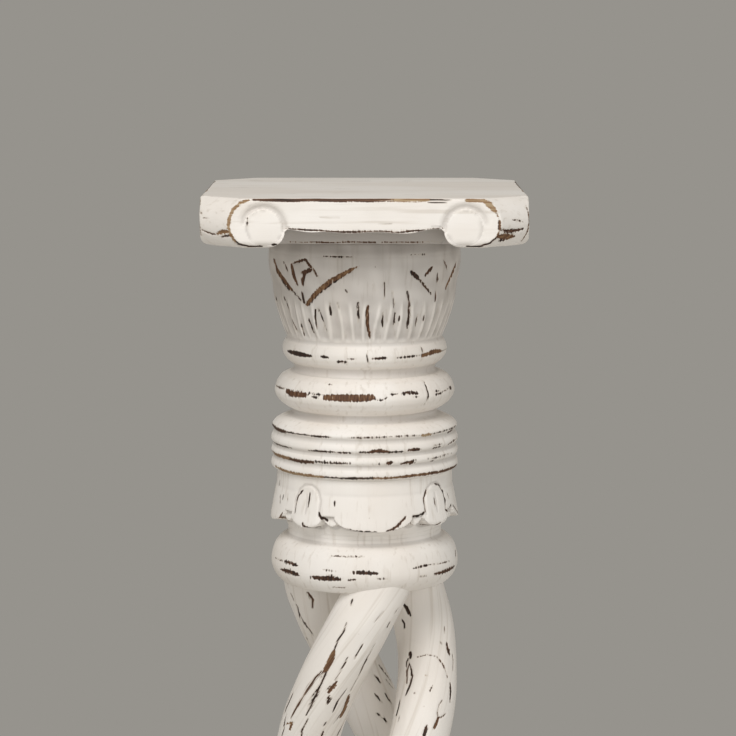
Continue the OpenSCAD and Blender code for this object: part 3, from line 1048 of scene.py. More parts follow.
@dataclass(frozen=True)
class CapitalDrum(TurnedPiece):
    """The carved bell, the small bead, the large bead, the shoulder and the three reeds."""

    flutes: int = 44

    def outline(self) -> Outline:
        """The turned outline, from under the top to the last reed.

        Returns:
            (radius, depth) corners in mm.
        """
        return (
            (90.5, 45), (91.8, 46.5), (91.9, 57.0), (90.9, 58.2), (91.6, 59.6), (91.8, 68.7),
            (90.4, 79.7), (88.3, 88.5), (86.5, 105.4), (83.6, 116.5), (79.3, 129.7), (75.6, 138.4),
            (73.9, 141.6), (75.4, 142.9), (78.2, 147.9), (79.1, 152.3), (78.2, 157.4),
            (74.8, 162.6), (69.2, 166.9), (67.4, 170.1), (67.6, 172.6), (68.8, 174.0),
            (73.6, 175.2), (79.9, 178.4), (83.7, 183.5), (85.8, 189.2), (86.6, 193.0),
            (85.4, 197.5), (81.3, 203.3), (75.0, 207.7), (69.2, 210.6), (68.3, 212.6),
            (69.2, 214.4), (73.0, 216.6), (80.1, 218.7), (85.8, 221.8), (89.2, 226.0),
            (89.5, 227.2), (87.9, 228.6), (86.8, 231.4), (88.4, 234.0), (89.8, 237.4),
            (90.1, 240.6), (88.2, 242.2), (87.1, 244.2), (88.8, 246.8), (90.0, 249.6),
            (90.1, 251.8), (88.2, 253.6), (87.1, 255.8), (88.9, 258.6), (90.1, 261.8),
            (90.2, 264.8), (88.6, 266.6), (85.0, 268.2), (84.0, 269.0),
        )

    @staticmethod
    def leaf_marks() -> tuple[Mark, ...]:
        """The two leaves of the front and the cuts between the flutes.

        Returns:
            The marks, in degrees round the column and mm below the top.
        """
        deep, mid = 1.8, 1.2
        return (
            Mark(((-39, 105), (-30, 92), (-21, 82), (-10, 72), (-3, 66)), 5.0, deep, 0.5,
                 (0.7, 0.1)),
            Mark(((-38, 106), (-29, 93.6), (-20, 83.6), (-10, 74)), 1.8, mid, 0.05, (0.6, 0.2),
                 0.3),
            Mark(((-42, 103), (-47, 97), (-52, 91)), 2.0, mid, 0.2, (0.5, 0.9), 0.3),
            Mark(((-51, 93), (-58, 84), (-65, 76), (-69, 66)), 6.4, deep, 0.46, (0.25, 0.5), 0.3),
            Mark(((-53, 94), (-59, 88), (-63, 83)), 1.6, mid, 0.08, (0.5, 0.2)),
            Mark(((-41, 103), (-42, 92)), 3.2, mid, 0.15, (1.0, 0.2)),
            Mark(((-45, 88), (-47, 79), (-48, 68)), 4.8, mid, 0.34, (0.15, 0.6), 0.3),
            Mark(((-41, 88), (-40, 81), (-37, 74)), 4.0, mid, 0.3, (0.15, 0.6), 0.2),
            Mark(((-48, 67), (-42, 64), (-37, 62)), 2.6, mid, 0.3, (0.6, 0.8), 0.3),
            Mark(((-37, 62), (-32, 70), (-28, 79)), 2.8, mid, 0.35, (0.8, 0.2), 0.3),
            Mark(((-40, 75), (-32, 71)), 4.0, mid, 0.3, (0.7, 0.5), 0.3),
            Mark(((-52, 76), (-56, 66)), 2.6, mid, 0.2, (0.2, 0.6)),
            Mark(((-25, 58), (-16, 58.3), (-6, 58)), 1.5, 0.4, 0.2),
            Mark(((72, 68), (66, 80), (61, 92)), 4.4, deep, 0.5, (0.2, 0.6)),
            Mark(((28, 72), (34, 80)), 4.2, deep, 0.15, (0.3, 0.6)),
            Mark(((34, 80), (40, 88), (46, 96)), 2.0, mid, 0.3, (0.7, 0.2)),
            Mark(((39, 77), (44, 69)), 3.6, mid, 0.3, (0.8, 0.2)),
            Mark(((54, 64), (59, 74)), 2.2, mid, 0.35),
            Mark(((50, 92), (50, 103)), 2.4, mid, 0.3, (0.2, 0.6)),
            Mark(((50, 86), (49, 76)), 2.6, mid, 0.2, (0.2, 0.4)),
            Mark(((28, 57), (40, 57.4)), 1.4, 0.3, 0.2),
            Mark(((31, 60),), 2.0, 0.3, 0.2),
            Mark(((-79, 99), (-78, 108)), 2.4, mid, 0.15),
            Mark(((-61, 100), (-58, 118), (-55, 134)), 2.6, mid, 0.2, (0.7, 0.3)),
            Mark(((-48, 124), (-48, 136)), 1.8, mid, 0.2),
            Mark(((-40, 118), (-39, 127), (-38, 134)), 2.0, mid, 0.2),
            Mark(((-33, 109), (-34, 120), (-34, 129)), 2.2, mid, 0.15, (0.6, 0.3)),
            Mark(((-31, 107), (-29, 118), (-27, 130)), 1.8, mid, 0.15),
            Mark(((-22, 102), (-22, 114)), 2.2, mid, 0.12, (0.7, 0.3)),
            Mark(((-17, 101), (-16, 108)), 1.8, mid, 0.12),
            Mark(((-4, 101), (-4, 121)), 2.4, mid, 0.12, (0.7, 0.2)),
            Mark(((2, 104), (2, 121), (4, 135)), 3.4, mid, 0.4, (0.7, 0.3)),
            Mark(((12, 81), (12, 98)), 1.6, 0.8, 0.2),
            Mark(((12, 110), (12, 125)), 2.2, mid, 0.12),
            Mark(((17, 90), (19, 107)), 1.8, mid, 0.15),
            Mark(((20, 110), (20, 124)), 2.0, mid, 0.15),
            Mark(((27, 91), (29, 103), (30, 116), (30, 127)), 2.8, mid, 0.12, (0.4, 0.3)),
            Mark(((23, 114), (23, 119)), 1.6, 0.8, 0.2),
            Mark(((37, 114), (37, 126)), 2.0, mid, 0.2),
            Mark(((42, 113), (42, 123)), 1.8, mid, 0.2),
            Mark(((60, 106), (61, 122)), 1.8, mid, 0.2),
            Mark(((70, 104), (69, 120)), 2.4, mid, 0.15),
            Mark(((0, 75),), 1.6, 0.3, 0.2), Mark(((1, 89),), 1.5, 0.3, 0.2),
            Mark(((6, 67),), 1.5, 0.3, 0.2), Mark(((5, 84),), 1.5, 0.3, 0.2),
            Mark(((-12, 88), (-10, 92)), 1.3, 0.3, 0.2),
        )

    @staticmethod
    def rubbed_marks() -> tuple[Mark, ...]:
        """Where the beads, the shoulder and the reeds are rubbed or cracked at the front.

        Returns:
            The marks, in degrees round the column and mm down.
        """
        return (
            Mark(((-69, 153), (-52, 153.5), (-39, 154)), 4.6, 0.3, 0.12, (0.15, 0.3)),
            Mark(((-31, 153.5), (-25, 154)), 2.4, 0.3, 0.08, (0.8, 0.3)),
            Mark(((-19, 157.7), (-12, 157.7)), 2.6, 0.2, 0.12, (0.7, 0.6), 0.4),
            Mark(((-12, 154.5), (-6, 154.4)), 1.5, 0.2, 0.2, ragged=0.4),
            Mark(((2, 147), (1.6, 152), (2.6, 159)), 1.7, 0.6, 0.12, (0.5, 0.6)),
            Mark(((5, 154), (10, 154), (16, 153.7)), 2.4, 0.3, 0.15, (0.8, 0.2)),
            Mark(((23, 154), (33, 153.7), (42, 153.5)), 2.2, 0.3, 0.12, (0.6, 0.3)),
            Mark(((44, 154), (52, 152.5), (57, 151.8), (70, 153)), 4.2, 0.3, 0.5, (0.9, 0.1)),
            Mark(((70, 153), (84, 153.5)), 1.2, 0.2, 0.2),
            Mark(((43.5, 145), (44.2, 151)), 1.2, 0.4, 0.3),
            Mark(((-83, 188.5), (-72, 188.2), (-62, 187.7)), 1.6, 0.2, 0.3, (0.4, 0.6)),
            Mark(((-59, 189), (-53, 190.8), (-46, 190.2), (-39, 190)), 6.0, 0.3, 0.34,
                 (0.6, 0.5), 0.9),
            Mark(((-38, 188), (-27, 188.3)), 1.6, 0.2, 0.12, (0.8, 0.5), 0.5),
            Mark(((-35, 190.7), (-30, 191.6)), 2.0, 0.2, 0.12, (0.4, 0.5), 0.4),
            Mark(((-25, 190.8), (-19, 190.4), (-13, 190.3), (-6, 190.2), (0, 190), (5, 189.4)),
                 6.6, 0.35, 0.4, (0.85, 0.8), 0.7),
            Mark(((5.6, 190.8), (10.4, 192.4), (14.4, 190)), 1.4, 0.3, 0.12, (0.8, 0.6), 0.3),
            Mark(((16, 187.5), (21.4, 187.3)), 1.8, 0.2, 0.15, ragged=0.5),
            Mark(((24, 187.2), (30, 186.6), (36, 187.7)), 3.0, 0.25, 0.15, (0.5, 0.5), 0.9),
            Mark(((32, 191), (36.4, 191.2)), 1.4, 0.2, 0.2, ragged=0.3),
            Mark(((43.6, 168), (43.3, 175)), 1.1, 0.4, 0.5),
            Mark(((44.6, 178.4), (44.0, 184.7), (44.2, 190.4), (43, 197), (41.9, 200)), 1.8, 0.8,
                 0.18, (0.4, 0.3), 0.2),
            Mark(((51, 188.3), (56.3, 188.5)), 1.7, 0.2, 0.12, ragged=0.3),
            Mark(((51, 191.4), (58, 190.7)), 2.2, 0.2, 0.1, (0.5, 0.5), 0.3),
            Mark(((58, 190), (69.6, 188.4)), 1.0, 0.1, 0.35),
            Mark(((72, 188.8), (75, 189.2)), 4.0, 0.3, 0.15, (0.7, 0.6)),
            Mark(((-25, 179.2), (-22, 179.4)), 1.2, 0.1, 0.3),
            Mark(((-85, 227.3), (-64, 228), (-57, 227.6)), 4.4, 0.3, 0.25, (0.7, 0.5), 0.4),
            Mark(((-56, 227.6), (-48, 227.5)), 1.9, 0.2, 0.15, (0.6, 0.6), 0.3),
            Mark(((-47, 227.4), (-35, 227.2)), 1.7, 0.2, 0.15, (0.6, 0.6), 0.3),
            Mark(((-34, 227.4), (-28, 227.4), (-20, 227)), 2.2, 0.2, 0.12, (0.8, 0.2), 0.2),
            Mark(((-10, 227), (0, 226.8), (13, 226.6)), 1.7, 0.2, 0.25, (0.3, 0.4)),
            Mark(((-2.4, 228.6),), 2.4, 0.2, 0.6),
            Mark(((13, 226.6), (25, 226.6), (36, 227)), 1.2, 0.2, 0.3, (0.6, 0.6), 0.2),
            Mark(((37, 227.6), (40, 228), (45, 227.6)), 3.0, 0.2, 0.9, (0.6, 0.5)),
            Mark(((46, 227.4), (63, 226.8), (79, 226.8)), 1.5, 0.2, 0.2, (0.5, 0.9)),
            Mark(((64, 230), (73, 229.2)), 2.4, 0.2, 0.2, ragged=0.6),
            Mark(((-84, 242), (-72, 242.6), (-51, 242)), 2.0, 0.2, 0.15, (0.8, 0.3)),
            Mark(((-36, 241.6), (-27, 241.4), (-18, 241)), 2.2, 0.2, 0.15, (0.4, 0.6), 0.2),
            Mark(((-17, 241.3), (-7, 241.5)), 2.0, 0.2, 0.15, (0.7, 0.3), 0.5),
            Mark(((-3, 240.6), (3, 240.6)), 2.0, 0.2, 0.12, (0.6, 0.8), 0.2),
            Mark(((3, 240.6), (6, 239.6), (10, 239.4), (15, 240.8)), 3.8, 0.3, 0.3, (0.7, 0.6),
                 0.3),
            Mark(((15.5, 240.9), (24, 241)), 2.0, 0.2, 0.12, (0.8, 0.6), 0.4),
            Mark(((27, 240.2), (31, 240), (36, 240.5)), 3.2, 0.2, 0.25, (0.5, 0.5), 0.6),
            Mark(((46, 241), (54, 241)), 1.8, 0.2, 0.12, (0.6, 0.5), 0.4),
            Mark(((46, 238), (55, 238.6)), 1.0, 0.1, 0.3),
            Mark(((62, 241), (70, 239), (80, 239)), 1.8, 0.2, 0.3, (0.4, 0.8)),
            Mark(((-86, 252.8), (-73, 252.7), (-53, 252.2)), 4.2, 0.3, 0.7, (0.8, 0.9)),
            Mark(((-52.6, 252.8), (-42, 253), (-33, 252.4)), 4.2, 0.3, 0.3, (0.8, 0.8), 0.5),
            Mark(((-32, 251.4), (-20, 251.3), (-8, 250.9)), 2.2, 0.2, 0.15, (0.8, 0.3), 0.7),
            Mark(((-1.5, 251.5),), 1.8, 0.2, 0.15), Mark(((5, 250.4), (5, 252.6)), 1.4, 0.3, 0.15),
            Mark(((9, 250.6), (9, 253)), 1.8, 0.3, 0.15),
            Mark(((13.6, 251.5), (17, 250.6)), 3.8, 0.3, 0.2, (0.9, 0.4), 0.4),
            Mark(((22, 252.6), (26, 252), (32, 253)), 2.8, 0.3, 0.3, (0.4, 0.3), 0.4),
            Mark(((26, 251), (33, 249.8)), 1.4, 0.2, 0.2, (0.7, 0.3)),
            Mark(((40, 250), (48, 250.4), (60, 249.8), (67, 250.3)), 1.3, 0.2, 0.2, (0.3, 0.6),
                 0.2),
            Mark(((44, 253.4), (48, 253)), 1.3, 0.2, 0.25), Mark(((53, 253),), 1.8, 0.3, 0.15),
            Mark(((-71, 263.6), (-64, 264.6), (-58, 265.2), (-48, 265.8), (-36, 265.6),
                  (-25, 265.3)), 3.6, 0.3, 0.8, (0.4, 0.5)),
            Mark(((-25, 265.2), (-13, 265.6)), 2.0, 0.2, 0.12, (0.8, 0.8), 0.2),
            Mark(((-13, 265.7), (-5, 265.2), (5, 265)), 2.6, 0.3, 0.12, (0.8, 0.8), 0.2),
            Mark(((5, 265), (14, 265.3), (22, 265.1)), 2.4, 0.3, 0.6, (0.8, 0.9), 0.2),
            Mark(((22, 265.1), (30, 264.6), (43, 264.6)), 3.0, 0.3, 0.5, (0.9, 0.9)),
            Mark(((43, 264.6), (57, 265), (80, 264.8)), 3.2, 0.3, 0.38, (0.9, 0.6)),
        )

    def build(self, material: bpy.types.Material) -> None:
        """Turns, carves and rubs the drum.

        Args:
            material: The finish.
        """
        bench = self.turned("capital", self.outline())
        down, angle = bench.down(), bench.angle()
        zone = smooth_step((down - 98) / 12) * smooth_step((139.5 - down) / 4)
        beat = angle * self.flutes / 360 + 0.25 * hand(bench.points, 60, 3)
        ridge = 0.5 - 0.5 * np.cos(math.tau * beat)
        bench.scale_radius(-1.7 * zone * ridge ** 0.7)
        # Painted shadow of the top over the bell, darker just under the top, with the flute crests
        # kept lighter as painted highlight.
        shaded = smooth_step((down - 44) / 2) * smooth_step((141 - down) / 5)
        lit_crest = zone * np.clip(1 - ridge / 0.25, 0, 1)
        bench.dust_and_shade = shaded * (0.52 + 0.12 * hand(bench.points, 30, 6) - 0.5 * lit_crest)
        bench.dust_and_shade += 0.4 * smooth_step((62 - down) / 10) * shaded
        chart = self.chart(bench)
        for marks in (self.leaf_marks(), self.rubbed_marks()):
            bench.cut(chart, marks)
            bench.cut(chart, opposite(marks, 190))
        bench.sink()
        bench.handle(0.12 + 0.28 * self.behind(bench), 31, turned=True)
        bench.finish(bench.points)
        hand_over(bench.piece, "capital_drum", material)


@dataclass(frozen=True)
class PetalCollar(TurnedPiece):
    """The collar: wide lobes and narrow tongues with a leaf tip showing between them."""

    motif_turn: float = 6.0
    lobe_half: float = 25.0
    tongue_half: float = 12.5
    tip_half: float = 8.0
    tongue_wide: float = 10.4
    valley: float = 302.5

    def lower_edges(self, angle: np.ndarray) -> tuple[np.ndarray, np.ndarray]:
        """How far down the front petals and the leaf tips behind them reach.

        Args:
            angle: Places round the column in degrees.

        Returns:
            The two depths at each place, in mm.
        """
        turn = (angle - self.motif_turn) % 90

        def petal(middle: float, half: float, tip: float, root: float, square: float
                  ) -> np.ndarray:
            """The lower edge of one petal.

            Args:
                middle: Its middle, in degrees from the lobe's.
                half: Half of its width in degrees.
                tip: How far down its tip lies, in mm.
                root: How far down its two ends lie, in mm.
                square: How square it is cut, from 1 for a point upwards.

            Returns:
                The edge's depth at each place, in mm.
            """
            off = np.abs((turn - middle + 45) % 90 - 45) / half
            return root + (tip - root) * np.clip(1 - off ** square, 0, 1) ** (1 / square)

        front = np.maximum(petal(0, self.lobe_half, 316.4, self.valley, 2.1),
                           petal(45, self.tongue_half, 315.2, self.valley, 2.2))
        tips = np.maximum(petal(27, self.tip_half, 312.6, 300, 1.5),
                          petal(63, self.tip_half, 312.6, 300, 1.5))
        return front, tips

    def tongue_lines(self) -> list[Mark]:
        """The painted grooves round the arches of the four tongues.

        Returns:
            Two grooves for each tongue.
        """
        lines = []
        for quarter in QUARTERS:
            middle, wide = quarter + 45 + self.motif_turn, self.tongue_wide
            lines.append(Mark(((middle - wide * 0.95, 303), (middle - wide, 290),
                               (middle - wide * 0.72, 281), (middle - wide * 0.3, 276),
                               (middle + wide * 0.3, 275.4), (middle + wide * 0.75, 280),
                               (middle + wide, 289), (middle + wide * 0.95, 303)),
                              2.4, 1.1, ends=(0.9, 0.9), painted=True))
            lines.append(Mark(((middle - 0.5, 284), (middle + 0.3, 292), (middle, 303)), 3.4, 0.8,
                              ends=(0.2, 0.2), painted=True))
        return lines

    @staticmethod
    def dark_lines() -> tuple[Mark, ...]:
        """The dark strokes along the petals' edges at the front.

        Returns:
            The marks, in degrees round the column and mm down.
        """
        return (
            Mark(((-43, 281), (-47, 287), (-48, 296), (-48, 303)), 2.0, 0.7, 0.15, (0.6, 0.8)),
            Mark(((-37, 283), (-37.5, 296)), 1.8, 0.6, 0.15, (0.7, 0.3)),
            Mark(((-29, 300), (-28, 304), (-24, 307)), 2.6, 0.5, 0.12, (0.5, 0.7)),
            Mark(((-40, 311), (-39.5, 314), (-36, 315.5), (-33, 315.4)), 2.6, 0.4, 0.15,
                 (0.8, 0.7)),
            Mark(((-19, 288), (-19, 293)), 1.4, 0.3, 0.15, (0.4, 0.6)),
            Mark(((-74, 277), (-75, 284)), 1.3, 0.3, 0.3), Mark(((-69, 291), (-67, 299)), 1.1, 0.3,
                                                                 0.25),
            Mark(((-64, 290), (-64, 295)), 1.4, 0.3, 0.15), Mark(((-58, 291), (-57, 295)), 1.0,
                                                                 0.3, 0.3),
            Mark(((-61, 306), (-64, 311), (-67, 315)), 2.2, 0.4, 0.4, (0.4, 0.9)),
            Mark(((-10, 313), (-5, 315.4), (5, 316), (7, 316)), 2.0, 0.3, 0.12, (0.3, 0.4)),
            Mark(((13, 316), (18, 313), (22, 308.6), (26, 303)), 2.8, 0.5, 0.25, (0.4, 0.5)),
            Mark(((31, 304), (36, 304.2), (40, 301)), 2.8, 0.5, 0.12, (0.7, 0.6)),
            Mark(((40.6, 301), (40.6, 288), (44, 280.5)), 1.6, 0.5, 0.3, (0.8, 0.5)),
            Mark(((52, 276.5), (57, 279), (60.5, 286), (61.6, 295), (60, 303)), 2.2, 0.6, 0.15,
                 (0.7, 0.9)),
            Mark(((60, 303), (63, 305), (66, 304), (69.5, 300.5)), 2.6, 0.5, 0.12, (0.9, 0.5)),
            Mark(((73, 302), (80, 309), (87, 315.6)), 1.8, 0.4, 0.2, (0.5, 0.7)),
            Mark(((49.5, 289), (50, 298)), 2.2, 0.7, 0.2, (0.3, 0.2)),
            Mark(((43, 315), (48, 315.6), (53, 313)), 1.8, 0.3, 0.25, (0.4, 0.6)),
            Mark(((30, 309.5), (30, 310.6)), 2.4, 0.3, 0.3),
            Mark(((66, 288), (68, 295)), 1.0, 0.3, 0.3), Mark(((3, 303),), 1.4, 0.2, 0.2),
        )

    def build(self, material: bpy.types.Material) -> None:
        """Turns the collar and carves its petals.

        Args:
            material: The finish.
        """
        bench = self.turned("scalloped_collar", (
            (84.0, 269.0), (84.4, 276), (84.7, 282.8), (85.9, 288.1), (87.4, 295.9), (88.7, 303.7),
            (90.3, 311.6), (90.8, 317.6), (88.0, 318.6), (80.0, 319.6), (75.2, 321.6),
            (74.0, 324.0), (74.0, 327.0)), columns=600, step=0.95)
        down, angle = bench.down(), bench.angle()
        radius = np.hypot(bench.points[:, 0], bench.points[:, 1])
        front, tips = self.lower_edges(angle)
        below_front = smooth_step((down - front) / 1.6)
        below_tips = smooth_step((down - tips) / 1.6)
        core = np.interp(down, (296, 306, 319, 327), (80.5, 78.5, 75.5, 74.0))
        leaf = np.minimum(radius - 3.4, 86.4)
        skin = radius * (1 - below_front) + (leaf * (1 - below_tips) + core * below_tips
                                             ) * below_front
        outer = (radius > 60) & (down > 290) & (down < 326)
        bench.scale_radius(np.where(outer, np.minimum(skin, radius) - radius, 0))
        middle = (angle - self.motif_turn) % 90 - 45
        arch = self.tongue_wide ** 2 - middle ** 2 - (np.clip(291 - down, 0, 99) * 0.62) ** 2
        bench.scale_radius(0.55 * smooth_step(arch / 45) * smooth_step((front - down) / 3)
                           * (down > 271))
        chart = self.chart(bench)
        bench.cut(chart, self.tongue_lines())
        bench.cut(chart, self.dark_lines())
        bench.cut(chart, opposite(self.dark_lines(), 192))
        bench.sink()
        bench.handle(0.12 + 0.28 * self.behind(bench), 41, turned=True)
        bench.finish(bench.points)
        hand_over(bench.piece, "petal_collar", material)


@dataclass(frozen=True)
class TwistRings(TurnedPiece):
    """The two rings that hold the strands' ends, the lower one a mirror of the upper."""

    head_top: float = 327.0
    foot_bottom: float = 825.0

    def outline(self) -> Outline:
        """The upper ring's outline, in mm from its neck.

        Returns:
            (radius, distance from the neck) corners in mm.
        """
        return ((74.0, 0.0), (74.3, 4.6), (77.4, 6.6), (80.6, 8.4), (84.6, 12.2), (86.9, 16.0),
                (88.4, 20.2), (89.4, 24.0), (90.2, 28.0), (90.5, 32.0), (90.0, 36.0),
                (88.6, 40.0), (86.4, 44.0), (83.3, 47.6), (80.5, 50.0))

    @staticmethod
    def marks() -> tuple[Mark, ...]:
        """The two rows of rubbed patches, in mm below the neck.

        Returns:
            The marks, in degrees round the column and mm down.
        """
        return (
            Mark(((-74, 26), (-59, 25.6)), 1.4, 0.2, 0.3, (0.3, 0.8)),
            Mark(((-59, 25.6), (-53, 25.2), (-45, 26)), 3.2, 0.2, 0.2, (0.4, 0.3), 0.8),
            Mark(((-62, 34.4), (-51, 33.8), (-44, 35)), 4.8, 0.3, 0.2, (0.4, 0.4), 1.0),
            Mark(((-34, 35), (-24, 34.8), (-14, 34.2)), 4.8, 0.3, 0.15, (0.4, 0.3), 1.0),
            Mark(((-26, 26.5), (-17, 27)), 1.3, 0.2, 0.25),
            Mark(((-23, 31), (-17, 31)), 1.2, 0.2, 0.25, ragged=0.4),
            Mark(((-22, 13.5), (0, 13)), 1.2, 0.4, 0.3, (0.5, 0.3)),
            Mark(((-8, 27.4), (0, 27.6), (8, 28.4)), 3.4, 0.3, 0.15, (0.4, 0.5), 1.0),
            Mark(((-10, 35), (-5, 34)), 2.0, 0.2, 0.2, ragged=0.6),
            Mark(((-21, 43.4), (-10, 42.6)), 1.1, 0.2, 0.35),
            Mark(((7, 33.4), (14, 33.8)), 1.3, 0.2, 0.2, ragged=0.6),
            Mark(((31, 26), (37, 25.2), (45, 25.2)), 2.4, 0.2, 0.12, (0.5, 0.4), 0.4),
            Mark(((46, 25.4), (65, 27)), 1.1, 0.3, 0.35),
            Mark(((34, 35), (42, 34.8)), 1.9, 0.2, 0.2, (0.3, 0.4), 0.5),
            Mark(((47, 34.8), (58, 35), (74, 34.6)), 3.8, 0.3, 0.28, (0.3, 0.4), 0.7),
            Mark(((77, 27), (82, 21)), 2.4, 0.3, 0.3, ragged=0.4),
        )

    def build(self, material: bpy.types.Material) -> None:
        """Turns both rings and rubs them.

        Args:
            material: The finish.
        """
        for name, node, start, way, marks in (
                ("upper_ring", "twist_head", self.head_top, 1, self.marks()),
                ("lower_ring", "twist_foot", self.foot_bottom, -1, opposite(self.marks(), 12))):
            outline = [(r, start + way * d) for r, d in self.outline()][::way]
            bench = self.turned(name, outline)
            chart = self.chart(bench)
            placed = [replace(mark, line=tuple((a, start + way * d) for a, d in mark.line))
                      for mark in marks]
            bench.cut(chart, placed)
            bench.cut(chart, opposite(placed, 185))
            bench.sink()
            bench.handle(0.15 + 0.25 * self.behind(bench), 51 + way, turned=True)
            bench.finish(bench.points)
            hand_over(bench.piece, node, material)


@dataclass(frozen=True)
class FootDrum(TurnedPiece):
    """The turned foot: a collar, a shoulder, three reeds and a wide bead on the plinth."""

    def build(self, material: bpy.types.Material) -> None:
        """Turns the foot and rubs its edges.

        Args:
            material: The finish.
        """
        bench = self.turned("turned_foot", (
            (74.0, 825.0), (74.2, 840.0), (75.0, 845.0), (79.0, 847.4), (84.5, 851.0),
            (87.6, 855.4), (88.2, 857.6), (87.0, 859.4), (88.8, 861.6), (89.9, 864.6),
            (89.9, 867.4), (88.0, 869.8), (87.2, 871.4), (88.9, 873.8), (90.0, 877.0),
            (89.9, 879.6), (88.0, 881.8), (87.2, 883.4), (88.9, 886.0), (90.0, 889.4),
            (89.6, 892.2), (86.6, 894.4), (80.0, 897.0), (75.4, 900.2), (74.2, 903.0),
            (76.0, 907.4), (80.4, 911.4), (88.0, 913.0), (98.0, 915.0), (104.2, 919.6),
            (107.4, 926.0), (107.9, 931.0), (106.6, 938.0), (103.0, 944.4), (98.6, 949.0),
            (97.6, 952.0)))
        dice = np.random.default_rng(8)
        marks = []
        for down, width, count in ((857, 2.6, 9), (868.6, 2.4, 9), (880.8, 2.8, 9), (893, 3.2, 9),
                                   (929, 5.4, 7), (931, 2.0, 6)):
            for along in dice.uniform(-180, 180, count):
                length = dice.uniform(5, 24)
                marks.append(Mark(((along, down), (along + length / 2, down + 0.4),
                                   (along + length, down)), width * dice.uniform(0.6, 1.2), 0.3,
                                  dice.uniform(0.1, 0.6), (0.4, 0.4), dice.uniform(0.2, 0.9)))
        for along in dice.uniform(-180, 180, 5):
            top = dice.uniform(910, 925)
            marks.append(Mark(((along, top), (along + 0.8, top + 8), (along - 0.5, top + 17)), 1.8,
                              0.7, 0.15, (0.3, 0.3), 0.2))
        bench.cut(self.chart(bench), marks)
        bench.sink()
        bench.handle(np.full(len(bench.points), 0.4), 61, turned=True)
        bench.finish(bench.points)
        hand_over(bench.piece, "foot_drum", material)


# ---------------------------------------------------------------- the twist


@dataclass(frozen=True)
class Strand:
    """One strand of the twist: a round bar wound round the column's axis."""

    node: str
    place: float
    marks: tuple[Mark, ...]
    fuller: float = 0.0
    path_radius: float = 61.0
    radius: float = 29.0
    turn_rate: float = 191 / 398
    ring_face: float = 377.0
    top: float = 369.0
    bottom: float = 783.0
    drawn_in: float = 0.12
    sides: int = 176
    cuts: tuple[int, int] = (20, 20)

    @property
    def lean(self) -> float:
        """The strand's angle from upright, in radians."""
        return math.atan(self.path_radius * math.radians(self.turn_rate))

    def blank(self) -> Piece:
        """A straight round bar with fine rows along it.

        Returns:
            The bar.
        """
        bpy.ops.object.select_all(action="DESELECT")
        bpy.ops.mesh.primitive_cylinder_add(
            vertices=self.sides, radius=self.radius * MM, depth=(self.bottom - self.top) * MM,
            location=(0, 0, (TOP_Z - (self.top + self.bottom) / 2) * MM))
        bar = take_up(self.node.replace("_", "_of_twist_"))
        for cuts in self.cuts:
            with editing(bar) as shape:
                pick_edges(shape, upright)
                bpy.ops.mesh.subdivide(number_cuts=cuts)
        return bar

    def hidden_cracks(self, seed: int) -> list[Mark]:
        """Cracks along the strand low down and on the far side, like those of the front.

        Args:
            seed: Which cracks.

        Returns:
            The cracks.
        """
        dice = np.random.default_rng(seed)
        cracks = []
        while len(cracks) < 34:
            start, along = dice.uniform(self.top + 15, self.bottom - 60), dice.uniform(-180, 180)
            length = dice.uniform(10, 60)
            world = math.radians(self.place - self.turn_rate * (start - self.top) + along)
            if start + length < 545 and math.sin(world) < 0.25:
                continue
            drift = dice.uniform(-0.35, 0.35)
            line = tuple((along + drift * length * share + dice.uniform(-2, 2),
                          start + length * share) for share in (0, 0.33, 0.66, 1))
            cracks.append(Mark(line, dice.choice([1.4, 1.7, 2.2, 4.0]), 0.9,
                               dice.uniform(0.08, 0.5), (0.3, 0.3), dice.uniform(0, 0.4)))
        return cracks

    def build(self, material: bpy.types.Material, seed: int) -> None:
        """Carves the strand along its path and rubs it.

        Args:
            material: The finish.
            seed: Which unevenness and cracks.
        """
        bench = Bench(self.blank())
        down = bench.down()
        phi = np.arctan2(bench.points[:, 1], bench.points[:, 0])
        arc = down / math.cos(self.lean)
        skin = np.stack([np.cos(phi) * 29, np.sin(phi) * 29, arc], 1)
        facets = np.abs(np.sin(phi * 3.5 + 0.6 * hand(skin, 160, seed + 2)))
        size = self.radius + self.fuller + 0.7 * hand(skin, 90, seed) - 0.45 * facets
        radius = np.hypot(bench.points[:, 0], bench.points[:, 1]) / self.radius * size
        centre = np.radians(self.place - self.turn_rate * (down - self.ring_face))
        near_end = 1 - smooth_step((np.minimum(down - self.top, self.bottom - down) - 4) / 42)
        outward = 1 - self.drawn_in * near_end * (np.cos(phi) > 0)
        out = self.path_radius + radius * np.cos(phi) * outward
        aside = radius * np.sin(phi) / math.cos(self.lean)
        bench.points = np.stack([out * np.cos(centre) - aside * np.sin(centre),
                                 out * np.sin(centre) + aside * np.cos(centre),
                                 bench.points[:, 2]], 1)
        bench.put_back()
        chart = Chart(np.degrees(phi), down, unit=math.radians(self.radius),
                      stretch=1 / math.cos(self.lean), full_turn=360)
        bench.cut(chart, self.marks)
        bench.cut(chart, self.hidden_cracks(seed))
        bench.sink()
        bench.handle(np.full(len(down), 0.5), seed)
        bench.finish(skin)
        hand_over(bench.piece, self.node, material)


